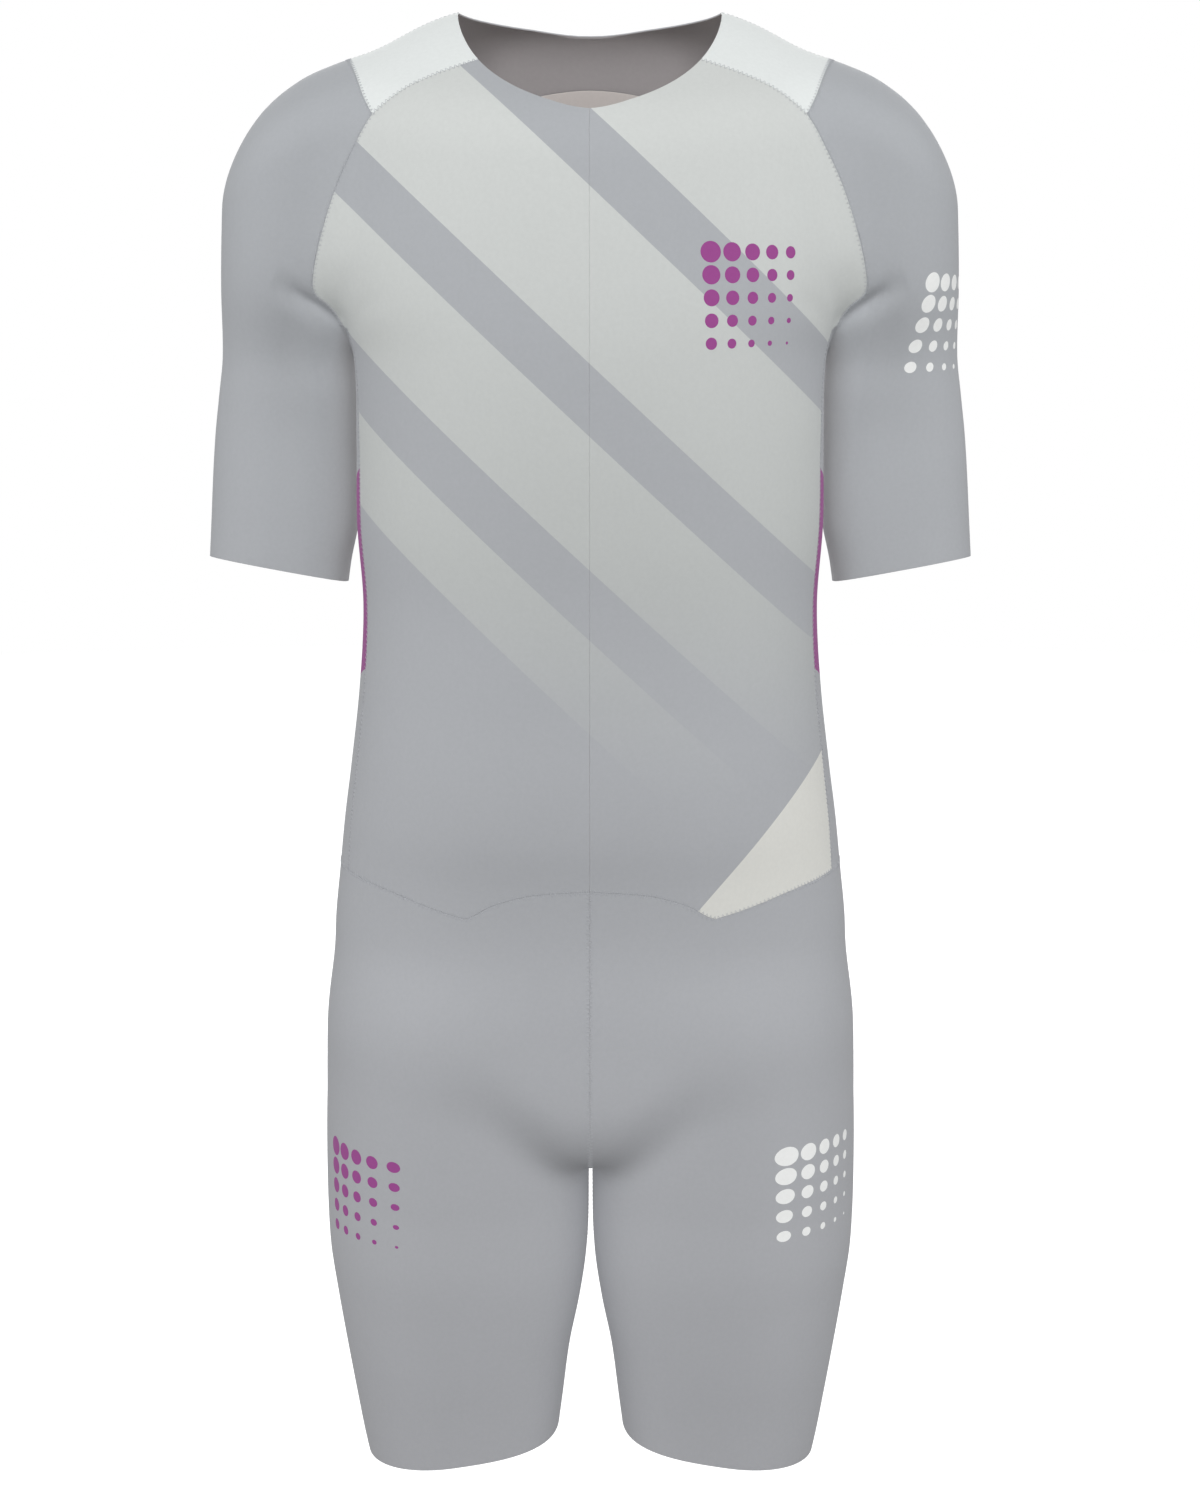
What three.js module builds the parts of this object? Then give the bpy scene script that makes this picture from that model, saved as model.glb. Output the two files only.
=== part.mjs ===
// Cycling skinsuit: one-piece short-sleeved aero suit, worn shape, hollow, in its cut-and-sewn pieces.
// Millimetres, +Z up, the chest faces -Y and the wearer's left is +X. The origin is midway between the
// two points where the neck edge crosses the shoulder ridge, which is where the shoulders carry it.
import * as THREE from 'three';

// ---------------------------------------------------------------- driving dimensions
const CLOTH = 1.6;             // wall of the knit
const SEAM_GAP = 0.3;          // between the cut edges of two sewn pieces
const ZIP_HALF_WIDTH = 7;      // concealed zip tape behind the centre-front edges
const ZIP_THICK = 1.2;
const ZIP_LOW = -410;          // lower end of the zip
const ZIP_TOP_INSET = 3;       // tape end below the neck edge

const NECK_HALF_WIDTH = 78;    // neck opening seen from above
const NECK_FRONT = 85;
const NECK_BACK = 70;
const NECK_V_REACH = 22;       // small dip of the neck edge at the centre front
const NECK_V_DROP = 1.5;

const RIDGE_Y = 5;             // shoulder ridge runs a little behind the neck centre
const FRONT_FALL = 0.86;       // slope of the shoulders towards the chest
const NAPE_FALL = 0.33;        // slope towards the back beside the neck
const BACK_FALL = 0.8;         // the same over the upper arm
const RIDGE_ROUND_NECK = 14;   // roundness of the ridge beside the neck, and over the arm
const RIDGE_ROUND_ARM = 26;
const SHOULDER_BLEND = 16;     // rounding between the shoulder slopes and the upright sides

const TRUNK_FULLNESS = 2.2;    // 2 is an ellipse, more is squarer
const LIMB_INNER_FULLNESS = 3;    // arms and thighs, on the side of the body
const TRUNK_FLOOR = -694;      // underside of the trunk between the legs
const FLOOR_BLEND = 46;
const FLOOR_RISE = { by: 42, inner: 8, outer: 74 };   // it rises sideways in front
const THIGH_TOP = -560;        // the thighs fade into the trunk here
const THIGH_BLEND = 60;
const HIP_BLEND = 16;          // softness where the trunk meets the thighs
const INSEAM_BLEND = 3;        // and where the two thighs almost touch
const ARMPIT_TOP = -140;
const ARMPIT_LOW = -192;
const ARM_END = -362;          // the arms count as cut off below the sleeves
const ARMPIT_BLEND_TOP = 26;   // softness of arm and chest above the armpit, and below it
const ARMPIT_BLEND_LOW = 3;

// Figure inside the cloth, level by level (z). Trunk: half width, depth forward and back of y = 0.
const TRUNK = [
  { z: 40, half: 150, front: 74, back: 66 },
  { z: -20, half: 150, front: 84, back: 82 },
  { z: -60, half: 150, front: 95, back: 92 },
  { z: -100, half: 153, front: 102, back: 99 },
  { z: -140, half: 156, front: 107, back: 103 },
  { z: -172, half: 151, front: 110, back: 104 },
  { z: -200, half: 142.5, front: 111, back: 103 },
  { z: -250, half: 141.5, front: 109, back: 97 },
  { z: -300, half: 142, front: 105, back: 89 },
  { z: -350, half: 139, front: 101, back: 82 },
  { z: -400, half: 142, front: 101, back: 79 },
  { z: -450, half: 148, front: 103, back: 82 },
  { z: -482, half: 152.4, front: 101, back: 87.5 },
  { z: -515, half: 156, front: 95, back: 95 },
  { z: -550, half: 159.5, front: 92.5, back: 103 },
  { z: -600, half: 160, front: 96.5, back: 112 },
  { z: -650, half: 157, front: 97.5, back: 112 },
  { z: -700, half: 152, front: 89, back: 98 },
  { z: -800, half: 148, front: 62, back: 70 },
];

// One arm, hanging close to the side: centre, half width, half depth.
const ARM = [
  { z: 20, x: 166, y: 8, half: 53, deep: 54 },
  { z: -60, x: 166, y: 8, half: 53, deep: 56 },
  { z: -110, x: 168, y: 10, half: 53, deep: 57 },
  { z: -160, x: 174, y: 15, half: 50, deep: 56 },
  { z: -200, x: 184.5, y: 24, half: 42, deep: 50 },
  { z: -225, x: 186.5, y: 26, half: 43.5, deep: 49 },
  { z: -250, x: 188, y: 28, half: 44.8, deep: 48 },
  { z: -300, x: 190, y: 30, half: 45.5, deep: 47 },
  { z: -330, x: 194, y: 31, half: 43.5, deep: 47 },
  { z: -370, x: 198, y: 32, half: 42, deep: 46 },
];

// One thigh: centre, half width, half depth.
const THIGH = [
  { z: -500, x: 82, y: 3, half: 76, deep: 92 },
  { z: -600, x: 83, y: 5, half: 80, deep: 95 },
  { z: -660, x: 84.4, y: 6, half: 82.9, deep: 94 },
  { z: -720, x: 84.7, y: 4, half: 83.3, deep: 90 },
  { z: -760, x: 84.4, y: 2, half: 82.1, deep: 87 },
  { z: -790, x: 84.4, y: 1, half: 78, deep: 83 },
  { z: -823, x: 85.1, y: 0, half: 72.1, deep: 78 },
  { z: -858, x: 84.5, y: 0, half: 67, deep: 73 },
  { z: -892, x: 83.5, y: 0, half: 62, deep: 69 },
  { z: -930, x: 80, y: 0, half: 57, deep: 66 },
];

// Height of the shoulder ridge, from the middle of the neck out over the arm.
const RIDGE = [
  { x: 0, z: 6.5 },
  { x: 45, z: 5.5 },
  { x: 76, z: 1 },
  { x: 98, z: -6.5 },
  { x: 126, z: -20.5 },
  { x: 152, z: -29.5 },
  { x: 172, z: -38.5 },
  { x: 194, z: -56 },
  { x: 214, z: -84 },
  { x: 240, z: -126 },
];

// Sections of the sleeve fan out from the armhole to the hem: share of the sleeve's length, the
// section's outer and inner ends in x and z, the depth y of its middle, and how steeply it falls
// towards the back.
const SLEEVE_SECTIONS = [
  { share: 0, outX: 144, outZ: -25, inX: 144, inZ: -190, y: 8, fall: 0 },
  { share: 0.25, outX: 206, outZ: -77, inX: 150, inZ: -222, y: 15, fall: 0.025 },
  { share: 0.5, outX: 222, outZ: -158, inX: 150, inZ: -264, y: 22, fall: 0.05 },
  { share: 0.75, outX: 230, outZ: -242, inX: 150, inZ: -302, y: 28, fall: 0.075 },
  { share: 1, outX: 237, outZ: -325, inX: 151, inZ: -341, y: 31, fall: 0.1 },
];

// Seams on the wearer's left side: places seen from the front, from the back or from the side.
const SHOULDER_NECK_X = 64;                          // front shoulder seam at the neck edge
const ARMHOLE_RIDGE_X = 144;                         // armhole on the ridge
const SHOULDER_CORNER = { x: 125, z: -62 };          // front corner of the shoulder panel
const ARMHOLE_FRONT = [                              // from there down the chest
  { x: 145, z: -98 },
  { x: 157, z: -132 },
  { x: 163.5, z: -167 },
];
const ARMPIT = { frontFold: -38, front: -26, back: 32, backFold: 44 };   // depths y along the fold
const ARMHOLE_BACK = [                               // from the fold up the shoulder blade
  { x: 151, z: -152 },
  { x: 147, z: -112 },
];
const YOKE_CORNER = { x: 139, z: -66 };              // back yoke at the armhole
const YOKE_CENTRE_Z = -38;
const SIDE_SEAMS = [                                 // edges of the side panel, by level
  { z: -250, front: -30, back: 44 },
  { z: -380, front: -31, back: 42 },
  { z: -511, front: -34, back: 44 },
];

// Waist seam seen from the front: it rises at the centre and hangs in a point at each hip.
const WAIST = [
  { x: 0, z: -511 },
  { x: 35, z: -514 },
  { x: 58, z: -521 },
  { x: 75, z: -530 },
  { x: 95, z: -525 },
  { x: 125, z: -516 },
  { x: 150, z: -511 },
];
const WAIST_POINT_X = 75;
const WAIST_BACK_Z = -500;

// Leg hem: its centre, and its rise outwards and rearwards.
const LEG_HEM = { x: 83, z: -890, outwards: -0.165, rearwards: -0.06 };

const BODY_DRAW = 0.94;        // see drawnIn

// Facets along each stretch of seam.
const FACETS = {
  neckFront: 5,
  shoulder: 5,
  neckSide: 4,
  armFront: 7,
  underarm: 3,
  armBack: 7,
  yokeArm: 3,
  side: 9,
  zip: 12,
  neckBackHalf: 4,
  rise: 7,
  inseam: 6,
  sleeve: 12,
};

// ---------------------------------------------------------------- small maths
const lerp = (a, b, t) => a + (b - a) * t;

function smooth(a, b, value) {
  const t = Math.min(1, Math.max(0, (value - a) / (b - a)));
  return t * t * (3 - 2 * t);
}

// Smallest and largest of two distances, with a round fillet of the given size.
function blendMin(a, b, size) {
  const h = Math.max(size - Math.abs(a - b), 0) / size;
  return Math.min(a, b) - h * h * size / 4;
}
const blendMax = (a, b, size) => -blendMin(-a, -b, size);

// Smooth curve through a table's rows: value of a column where the key column equals `at`.
function column(table, key, name, at) {
  const last = table.length - 1;
  const sign = table[last][key] > table[0][key] ? 1 : -1;
  let i = 0;
  while (i < last - 1 && sign * at > sign * table[i + 1][key]) i += 1;
  const slope = (j) => {
    const low = Math.max(j - 1, 0);
    const high = Math.min(j + 1, last);
    return (table[high][name] - table[low][name]) / (table[high][key] - table[low][key]);
  };
  const span = table[i + 1][key] - table[i][key];
  const t = Math.min(1, Math.max(0, (at - table[i][key]) / span));
  const t2 = t * t;
  const t3 = t2 * t;
  return (2 * t3 - 3 * t2 + 1) * table[i][name] + (t3 - 2 * t2 + t) * span * slope(i)
    + (3 * t2 - 2 * t3) * table[i + 1][name] + (t3 - t2) * span * slope(i + 1);
}

// ---------------------------------------------------------------- the figure's skin
// Signed distance, roughly, from the outline of an upright column.
function columnDistance(x, y, halfWidth, halfDepth, fullness) {
  const reach = Math.hypot(x, y);
  if (reach < 1e-6) return -Math.min(halfWidth, halfDepth);
  const ratio = ((Math.abs(x) / halfWidth) ** fullness + (Math.abs(y) / halfDepth) ** fullness)
    ** (1 / fullness);
  return reach * (1 - 1 / ratio);
}

function ridgeHeight(x, y) {
  const outward = smooth(60, 150, x);
  const round = lerp(RIDGE_ROUND_NECK, RIDGE_ROUND_ARM, outward);
  const fall = y < RIDGE_Y ? FRONT_FALL : lerp(NAPE_FALL, BACK_FALL, outward);
  const away = fall * (y - RIDGE_Y);
  return column(RIDGE, 'x', 'z', x) - (Math.sqrt(round * round + away * away) - round);
}

// A limb: an ellipse on its outer side, squarer on the side of the body. `side` is 1 or -1.
function limbDistance(table, side, x, y, z) {
  const outwards = side * x - column(table, 'z', 'x', z);
  return columnDistance(
    outwards,
    y - column(table, 'z', 'y', z),
    column(table, 'z', 'half', z),
    column(table, 'z', 'deep', z),
    outwards < 0 ? LIMB_INNER_FULLNESS : 2,
  );
}

// Below zero inside the figure, zero on the outside of the cloth.
function figure(x, y, z) {
  const side = Math.abs(x);
  const depth = column(TRUNK, 'z', y < 0 ? 'front' : 'back', z);
  const trunk = columnDistance(x, y, column(TRUNK, 'z', 'half', z), depth, TRUNK_FULLNESS);
  const arm = limbDistance(ARM, 1, side, y, z);
  const armpit = lerp(ARMPIT_BLEND_TOP, ARMPIT_BLEND_LOW, smooth(ARMPIT_TOP, ARMPIT_LOW, z));
  const rise = FLOOR_RISE.by * smooth(FLOOR_RISE.inner, FLOOR_RISE.outer, side) * smooth(-20, 20, -y);
  const torso = blendMax(trunk, TRUNK_FLOOR + rise - z, FLOOR_BLEND);
  const upper = blendMin(torso, Math.max(arm, ARM_END - z), armpit);
  const roofed = blendMax(upper, 0.8 * (z - ridgeHeight(side, y)), SHOULDER_BLEND);
  if (z > THIGH_TOP + THIGH_BLEND) return roofed;
  const thighs = blendMin(
    limbDistance(THIGH, 1, x, y, z),
    limbDistance(THIGH, -1, x, y, z),
    INSEAM_BLEND,
  );
  return blendMin(roofed, blendMax(thighs, z - THIGH_TOP, THIGH_BLEND), HIP_BLEND);
}

function outward(point) {
  const d = 0.2;
  const { x, y, z } = point;
  return new THREE.Vector3(
    figure(x + d, y, z) - figure(x - d, y, z),
    figure(x, y + d, z) - figure(x, y - d, z),
    figure(x, y, z + d) - figure(x, y, z - d),
  ).divideScalar(2 * d);
}

// Moves a point near the skin onto it, down the slope of the distance.
function settle(point) {
  const p = point.clone();
  for (let step = 0; step < 24; step += 1) {
    const slope = outward(p);
    const move = figure(p.x, p.y, p.z) / Math.max(slope.lengthSq(), 0.2);
    p.addScaledVector(slope, -Math.max(-12, Math.min(12, move)));
    if (Math.abs(move) < 1e-5) break;
  }
  return p;
}

// Where a straight line out of the figure leaves it.
function leave(from, direction) {
  let inside = 0;
  let outside = 4;
  const value = (t) => figure(
    from.x + direction.x * t,
    from.y + direction.y * t,
    from.z + direction.z * t,
  );
  while (value(outside) < 0 && outside < 400) {
    inside = outside;
    outside += 4;
  }
  for (let step = 0; step < 40; step += 1) {
    const middle = (inside + outside) / 2;
    if (value(middle) < 0) inside = middle;
    else outside = middle;
  }
  return from.clone().addScaledVector(direction, inside);
}

// Points of the skin seen from the front (facing -1) or from the back (facing +1).
function facing(x, z, way) {
  return leave(new THREE.Vector3(x, RIDGE_Y, z), new THREE.Vector3(0, way, 0));
}

// Point of the skin above a place seen from over the shoulders.
function above(x, y) {
  return leave(new THREE.Vector3(x, y, -140), new THREE.Vector3(0, 0, 1));
}

// ---------------------------------------------------------------- seams of the left side
// A smooth line through a few places, evenly divided and settled on the skin.
function seamLine(places, facets) {
  const curve = new THREE.CatmullRomCurve3(places, false, 'centripetal');
  const points = curve.getSpacedPoints(facets).map((p) => settle(p));
  points[0] = places[0];
  points[facets] = places[places.length - 1];
  return points;
}

// Stretches that follow each other become one line, without doubling the joints.
function join(...lines) {
  return lines.reduce((all, line) => all.concat(line.slice(all.length ? 1 : 0)), []);
}

const back = (line) => [...line].reverse();

// The neck edge between two angles round the neck: 0 at the wearer's left, -90 at the front.
function neckLine(fromDegrees, toDegrees, facets) {
  const points = [];
  for (let i = 0; i <= facets; i += 1) {
    const angle = lerp(fromDegrees, toDegrees, i / facets) * Math.PI / 180;
    const x = NECK_HALF_WIDTH * Math.cos(angle);
    const dip = NECK_V_DROP * Math.max(0, 1 - Math.abs(x) / NECK_V_REACH);
    const front = NECK_FRONT * Math.sin(angle) - dip;
    const y = angle < 0 ? front : NECK_BACK * Math.sin(angle);
    points.push(above(x, y));
  }
  return points;
}

// The highest point of the armpit at a depth y, between the arm and the chest.
function armpit(y) {
  const ceiling = (x) => leave(new THREE.Vector3(x, y, -150), new THREE.Vector3(0, 0, -1));
  let low = 132;
  let high = 158;
  for (let step = 0; step < 50; step += 1) {
    const third = (high - low) / 3;
    if (ceiling(low + third).z < ceiling(high - third).z) low += third;
    else high -= third;
  }
  return ceiling(low);
}

// Point of the trunk's side at a level and a depth.
function beside(y, z) {
  return leave(new THREE.Vector3(60, y, z), new THREE.Vector3(1, 0, 0));
}

function spread(from, to, facets, place) {
  const points = [];
  for (let i = 0; i <= facets; i += 1) points.push(place(lerp(from, to, i / facets)));
  return points;
}

const waistFront = (x) => facing(x, column(WAIST, 'x', 'z', x), -1);

const ridgeAngle = Math.asin(RIDGE_Y / NECK_BACK) * 180 / Math.PI;
const cornerAngle = -Math.acos(SHOULDER_NECK_X / NECK_HALF_WIDTH) * 180 / Math.PI;
const neckFront = neckLine(-90, cornerAngle, FACETS.neckFront);
const neckSide = neckLine(cornerAngle, ridgeAngle, FACETS.neckSide);
const neckBack = neckLine(ridgeAngle, 90, FACETS.neckBackHalf);

const shoulderCorner = facing(SHOULDER_CORNER.x, SHOULDER_CORNER.z, -1);
const yokeCorner = facing(YOKE_CORNER.x, YOKE_CORNER.z, 1);
const armRidge = above(ARMHOLE_RIDGE_X, RIDGE_Y);
const shoulderSeam = seamLine([neckSide[0], shoulderCorner], FACETS.shoulder);
const ridgeSeam = spread(neckBack[0].x, ARMHOLE_RIDGE_X, FACETS.shoulder, (x) => above(x, RIDGE_Y));
const armTop = seamLine([shoulderCorner, armRidge], FACETS.neckSide);
const yokeArm = seamLine([yokeCorner, armRidge], FACETS.yokeArm);

const underarm = spread(ARMPIT.front, ARMPIT.back, FACETS.underarm, armpit);
const armFront = seamLine(
  [
    shoulderCorner,
    ...ARMHOLE_FRONT.map((p) => facing(p.x, p.z, -1)),
    armpit(ARMPIT.frontFold),
    underarm[0],
  ],
  FACETS.armFront,
);
const armBack = seamLine(
  [
    underarm[FACETS.underarm],
    armpit(ARMPIT.backFold),
    ...ARMHOLE_BACK.map((p) => facing(p.x, p.z, 1)),
    yokeCorner,
  ],
  FACETS.armBack,
);

const sideFront = seamLine(
  [underarm[0], ...SIDE_SEAMS.map((row) => beside(row.front, row.z))],
  FACETS.side,
);
const sideBack = seamLine(
  [underarm[FACETS.underarm], ...SIDE_SEAMS.map((row) => beside(row.back, row.z))],
  FACETS.side,
);
const sideWaist = seamLine([sideFront[FACETS.side], sideBack[FACETS.side]], FACETS.underarm);

const waistInner = spread(0, WAIST_POINT_X, FACETS.neckFront, waistFront);
const waistOuter = seamLine(
  [waistFront(WAIST_POINT_X), waistFront(95), waistFront(120), sideFront[FACETS.side]],
  FACETS.shoulder,
);
const waistBack = spread(sideBack[FACETS.side].x, 0, FACETS.shoulder + FACETS.neckBackHalf, (x) => {
  const share = smooth(0, sideBack[FACETS.side].x, x);
  return facing(x, lerp(WAIST_BACK_Z, sideBack[FACETS.side].z, share), 1);
});
waistBack[0] = sideBack[FACETS.side];

const centreLine = (from, to, facets) => spread(from, to, facets, (z) => facing(0, z, -1));
const centreLow = centreLine(WAIST[0].z, ZIP_LOW, FACETS.armFront + FACETS.side - FACETS.zip);
const centreHigh = centreLine(ZIP_LOW, neckFront[0].z, FACETS.zip);
centreHigh[FACETS.zip] = neckFront[0];

// Centre seam of the shorts, from the waist under the trunk, by the angle about a point inside it.
const RISE_CENTRE = { y: 2, z: -560 };
function riseLine(waist, facets) {
  const start = Math.atan2(waist.y - RISE_CENTRE.y, RISE_CENTRE.z - waist.z);
  const from = new THREE.Vector3(0, RISE_CENTRE.y, RISE_CENTRE.z);
  return spread(start, 0, facets, (angle) => leave(
    from,
    new THREE.Vector3(0, Math.sin(angle), -Math.cos(angle)),
  ));
}
const riseFront = riseLine(waistInner[0], FACETS.rise);
const riseBack = riseLine(waistBack[waistBack.length - 1], FACETS.rise);

// ---------------------------------------------------------------- sheets of points
// A sheet is a list of rows, each a list of points, seen from outside: u to the right, v upwards.
const mirrored = (p) => new THREE.Vector3(-p.x, p.y, p.z);

// Fills four edges, bottom, top, left and right, each running right or up. `place` brings each
// point of the inside onto the skin.
function panelSheet(bottom, top, left, right, place = settle) {
  const columns = bottom.length - 1;
  const rows = left.length - 1;
  const sheet = [];
  for (let j = 0; j <= rows; j += 1) {
    const v = j / rows;
    const row = [];
    for (let i = 0; i <= columns; i += 1) {
      const u = i / columns;
      const across = left[j].clone().lerp(right[j], u);
      const along = bottom[i].clone().lerp(top[i], v);
      const low = bottom[0].clone().lerp(bottom[columns], u);
      const corners = low.lerp(top[0].clone().lerp(top[columns], u), v);
      const inside = i > 0 && i < columns && j > 0 && j < rows;
      const point = across.add(along).sub(corners);
      if (inside) row.push(place(point));
      else if (j === 0) row.push(bottom[i].clone());
      else if (j === rows) row.push(top[i].clone());
      else row.push((i === 0 ? left[j] : right[j]).clone());
    }
    sheet.push(row);
  }
  return sheet;
}

// The inside of a body panel is drawn in towards the upright axis before it settles, so that it
// stays on its own side of the armpit.
const drawnIn = (p) => settle(p.multiply(new THREE.Vector3(BODY_DRAW, BODY_DRAW, 1)));

// A leg panel is filled in angle, radius and height about the thigh, and rolled up again. The
// angles of a line run on from the one given.
function unrolled(line, fromAngle) {
  let angle = fromAngle;
  return line.map((p) => {
    const turn = Math.atan2(p.y, p.x - LEG_HEM.x);
    angle = turn + 2 * Math.PI * Math.round((angle - turn) / (2 * Math.PI));
    return new THREE.Vector3(angle, Math.hypot(p.x - LEG_HEM.x, p.y), p.z);
  });
}
function rolled({ x: angle, y: radius, z }) {
  return new THREE.Vector3(LEG_HEM.x + radius * Math.cos(angle), radius * Math.sin(angle), z);
}
function legSheet(bottom, top, left, right) {
  const flatLeft = unrolled(left, Math.PI);
  const flat = panelSheet(
    unrolled(bottom, Math.PI),
    unrolled(top, flatLeft[flatLeft.length - 1].x),
    flatLeft,
    unrolled(right, 3 * Math.PI),
    (p) => p,
  );
  const lastRow = flat.length - 1;
  return flat.map((row, j) => row.map((p, i) => {
    const edge = j === 0 || j === lastRow || i === 0 || i === row.length - 1;
    return edge ? rolled(p) : settle(rolled(p));
  }));
}

// Section of the sleeve at a share of its length: its middle, and its axes outwards, rearwards and
// towards the armhole, each as long as half the section.
function sleeveSection(share) {
  const value = (name) => column(SLEEVE_SECTIONS, 'share', name, share);
  const outer = new THREE.Vector3(value('outX'), value('y'), value('outZ'));
  const inner = new THREE.Vector3(value('inX'), value('y'), value('inZ'));
  const half = outer.clone().sub(inner).multiplyScalar(0.5);
  const rearwards = new THREE.Vector3(0, 1, -value('fall')).setLength(half.length());
  const upwards = half.clone().cross(rearwards).setLength(half.length());
  return new THREE.Matrix4().makeBasis(half, rearwards, upwards).setPosition(outer.lerp(inner, 0.5));
}

// From the hem up to the armhole loop, which starts on the ridge and runs round by the back.
function sleeveSheet(loop, backFacets) {
  const toArmhole = sleeveSection(0).invert();
  const hem = sleeveSection(1);
  const toHem = hem.clone().invert();
  const hemCentre = new THREE.Vector3().setFromMatrixPosition(hem);
  const round = loop.length - 1;
  const hemEdge = loop.slice(0, round).map((_, i) => {
    const half = i < backFacets ? i / backFacets : 1 + (i - backFacets) / (round - backFacets);
    const [x, y] = [Math.cos(half * Math.PI), Math.sin(half * Math.PI)];
    return leave(hemCentre, new THREE.Vector3(x, y, 0).transformDirection(hem));
  });
  const sheet = [];
  for (let j = 0; j <= FACETS.sleeve; j += 1) {
    const share = 1 - j / FACETS.sleeve;
    const section = sleeveSection(share);
    sheet.push(hemEdge.map((edge, i) => {
      if (j === 0) return edge;
      if (j === FACETS.sleeve) return loop[i].clone();
      const outline = loop[i].clone().applyMatrix4(toArmhole);
      outline.lerp(edge.clone().applyMatrix4(toHem), share);
      return settle(outline.applyMatrix4(section));
    }));
  }
  return sheet;
}

// Hem of the left leg, from the inseam round by the front and back to the inseam.
function legHem(facets) {
  const centre = new THREE.Vector3(LEG_HEM.x, 0, LEG_HEM.z);
  return spread(Math.PI, 3 * Math.PI, facets, (angle) => {
    const x = Math.cos(angle);
    const y = Math.sin(angle);
    return leave(centre, new THREE.Vector3(x, y, LEG_HEM.outwards * x + LEG_HEM.rearwards * y));
  });
}

// ---------------------------------------------------------------- cloth from a sheet
// Steps each point of a closed line sideways, along the skin, by the same distance.
function insetLine(line, normals, distance) {
  const count = line.length;
  return line.map((point, i) => {
    const inwards = [-1, 0].map((k) => {
      const from = line[(i + k + count) % count];
      const to = line[(i + k + 1) % count];
      return normals[i].clone().cross(to.clone().sub(from)).normalize();
    });
    const sharpness = Math.max(0.3, 1 + inwards[0].dot(inwards[1]));
    return inwards[0].add(inwards[1]).multiplyScalar(distance / sharpness).add(point);
  });
}

// Turns a sheet into a closed wall. A tube's rows close on themselves.
function wall(sheet, { tube = false, thick = CLOTH, depth = 0 } = {}) {
  const rows = sheet.length;
  const columns = sheet[0].length;
  const normals = sheet.map((row) => row.map((p) => outward(p).normalize()));
  const outer = sheet.map((row) => row.map((p) => p.clone()));
  const setLine = (places) => {
    const line = insetLine(
      places.map(([j, i]) => sheet[j][i]),
      places.map(([j, i]) => normals[j][i]),
      SEAM_GAP / 2,
    );
    places.forEach(([j, i], k) => { outer[j][i] = line[k]; });
    return places;
  };
  const alongRow = (j) => Array.from({ length: columns }, (_, i) => [j, i]);
  const edges = [];
  if (tube) {
    edges.push(setLine(alongRow(0)), setLine(alongRow(rows - 1).reverse()));
  } else {
    const up = (i) => Array.from({ length: rows - 2 }, (_, j) => [j + 1, i]);
    edges.push(setLine([
      ...alongRow(0),
      ...up(columns - 1),
      ...alongRow(rows - 1).reverse(),
      ...up(0).reverse(),
    ]));
  }
  const positions = [];
  [depth, depth + thick].forEach((inward) => outer.forEach((row, j) => row.forEach((p, i) => {
    positions.push(...p.clone().addScaledVector(normals[j][i], -inward).toArray());
  })));
  const inside = outer.flat().length;
  const place = (j, i) => j * columns + (i % columns);
  const gap = (a, b) => new THREE.Vector3().fromArray(positions, 3 * a)
    .distanceTo(new THREE.Vector3().fromArray(positions, 3 * b));
  const index = [];
  for (let j = 0; j < rows - 1; j += 1) {
    for (let i = 0; i < (tube ? columns : columns - 1); i += 1) {
      let [a, b, c, d] = [place(j, i), place(j, i + 1), place(j + 1, i + 1), place(j + 1, i)];
      if (gap(a, c) > gap(b, d)) [a, b, c, d] = [b, c, d, a];
      index.push(a, b, c, a, c, d);
      index.push(inside + a, inside + c, inside + b, inside + a, inside + d, inside + c);
    }
  }
  edges.forEach((edge) => edge.forEach(([j, i], k) => {
    const [nextJ, nextI] = edge[(k + 1) % edge.length];
    const a = place(j, i);
    const b = place(nextJ, nextI);
    if (gap(b, inside + a) <= gap(a, inside + b)) {
      index.push(b, a, inside + a, b, inside + a, inside + b);
    } else {
      index.push(b, a, inside + b, a, inside + a, inside + b);
    }
  }));
  return { positions, index };
}

function mirroredWall({ positions, index }) {
  const turned = [];
  for (let i = 0; i < index.length; i += 3) turned.push(index[i], index[i + 2], index[i + 1]);
  return { positions: positions.map((value, i) => (i % 3 === 0 ? -value : value)), index: turned };
}

// ---------------------------------------------------------------- the pieces
const suit = new THREE.Group();

const KNIT = { roughness: 0.82, metalness: 0 };
const finish = {
  bodyGrey: () => new THREE.MeshStandardMaterial({ color: 0xa9abaf, ...KNIT }),
  frontPrint: () => new THREE.MeshStandardMaterial({ color: 0xc4c7c7, ...KNIT }),
  paleShoulder: () => new THREE.MeshStandardMaterial({ color: 0xdde1df, ...KNIT }),
  sidePrint: () => new THREE.MeshStandardMaterial({ color: 0x98488c, ...KNIT }),
  zipTape: () => new THREE.MeshStandardMaterial({ color: 0x9b9da1, roughness: 0.7, metalness: 0 }),
};

function addPiece(name, material, { positions, index }) {
  const geometry = new THREE.BufferGeometry();
  geometry.setAttribute('position', new THREE.Float32BufferAttribute(positions, 3));
  geometry.setIndex(index);
  geometry.computeVertexNormals();
  const mesh = new THREE.Mesh(geometry, material);
  mesh.name = name;
  suit.add(mesh);
}

function addPair(name, material, cloth) {
  addPiece(`${name}_left`, material(), cloth);
  addPiece(`${name}_right`, material(), mirroredWall(cloth));
}

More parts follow.
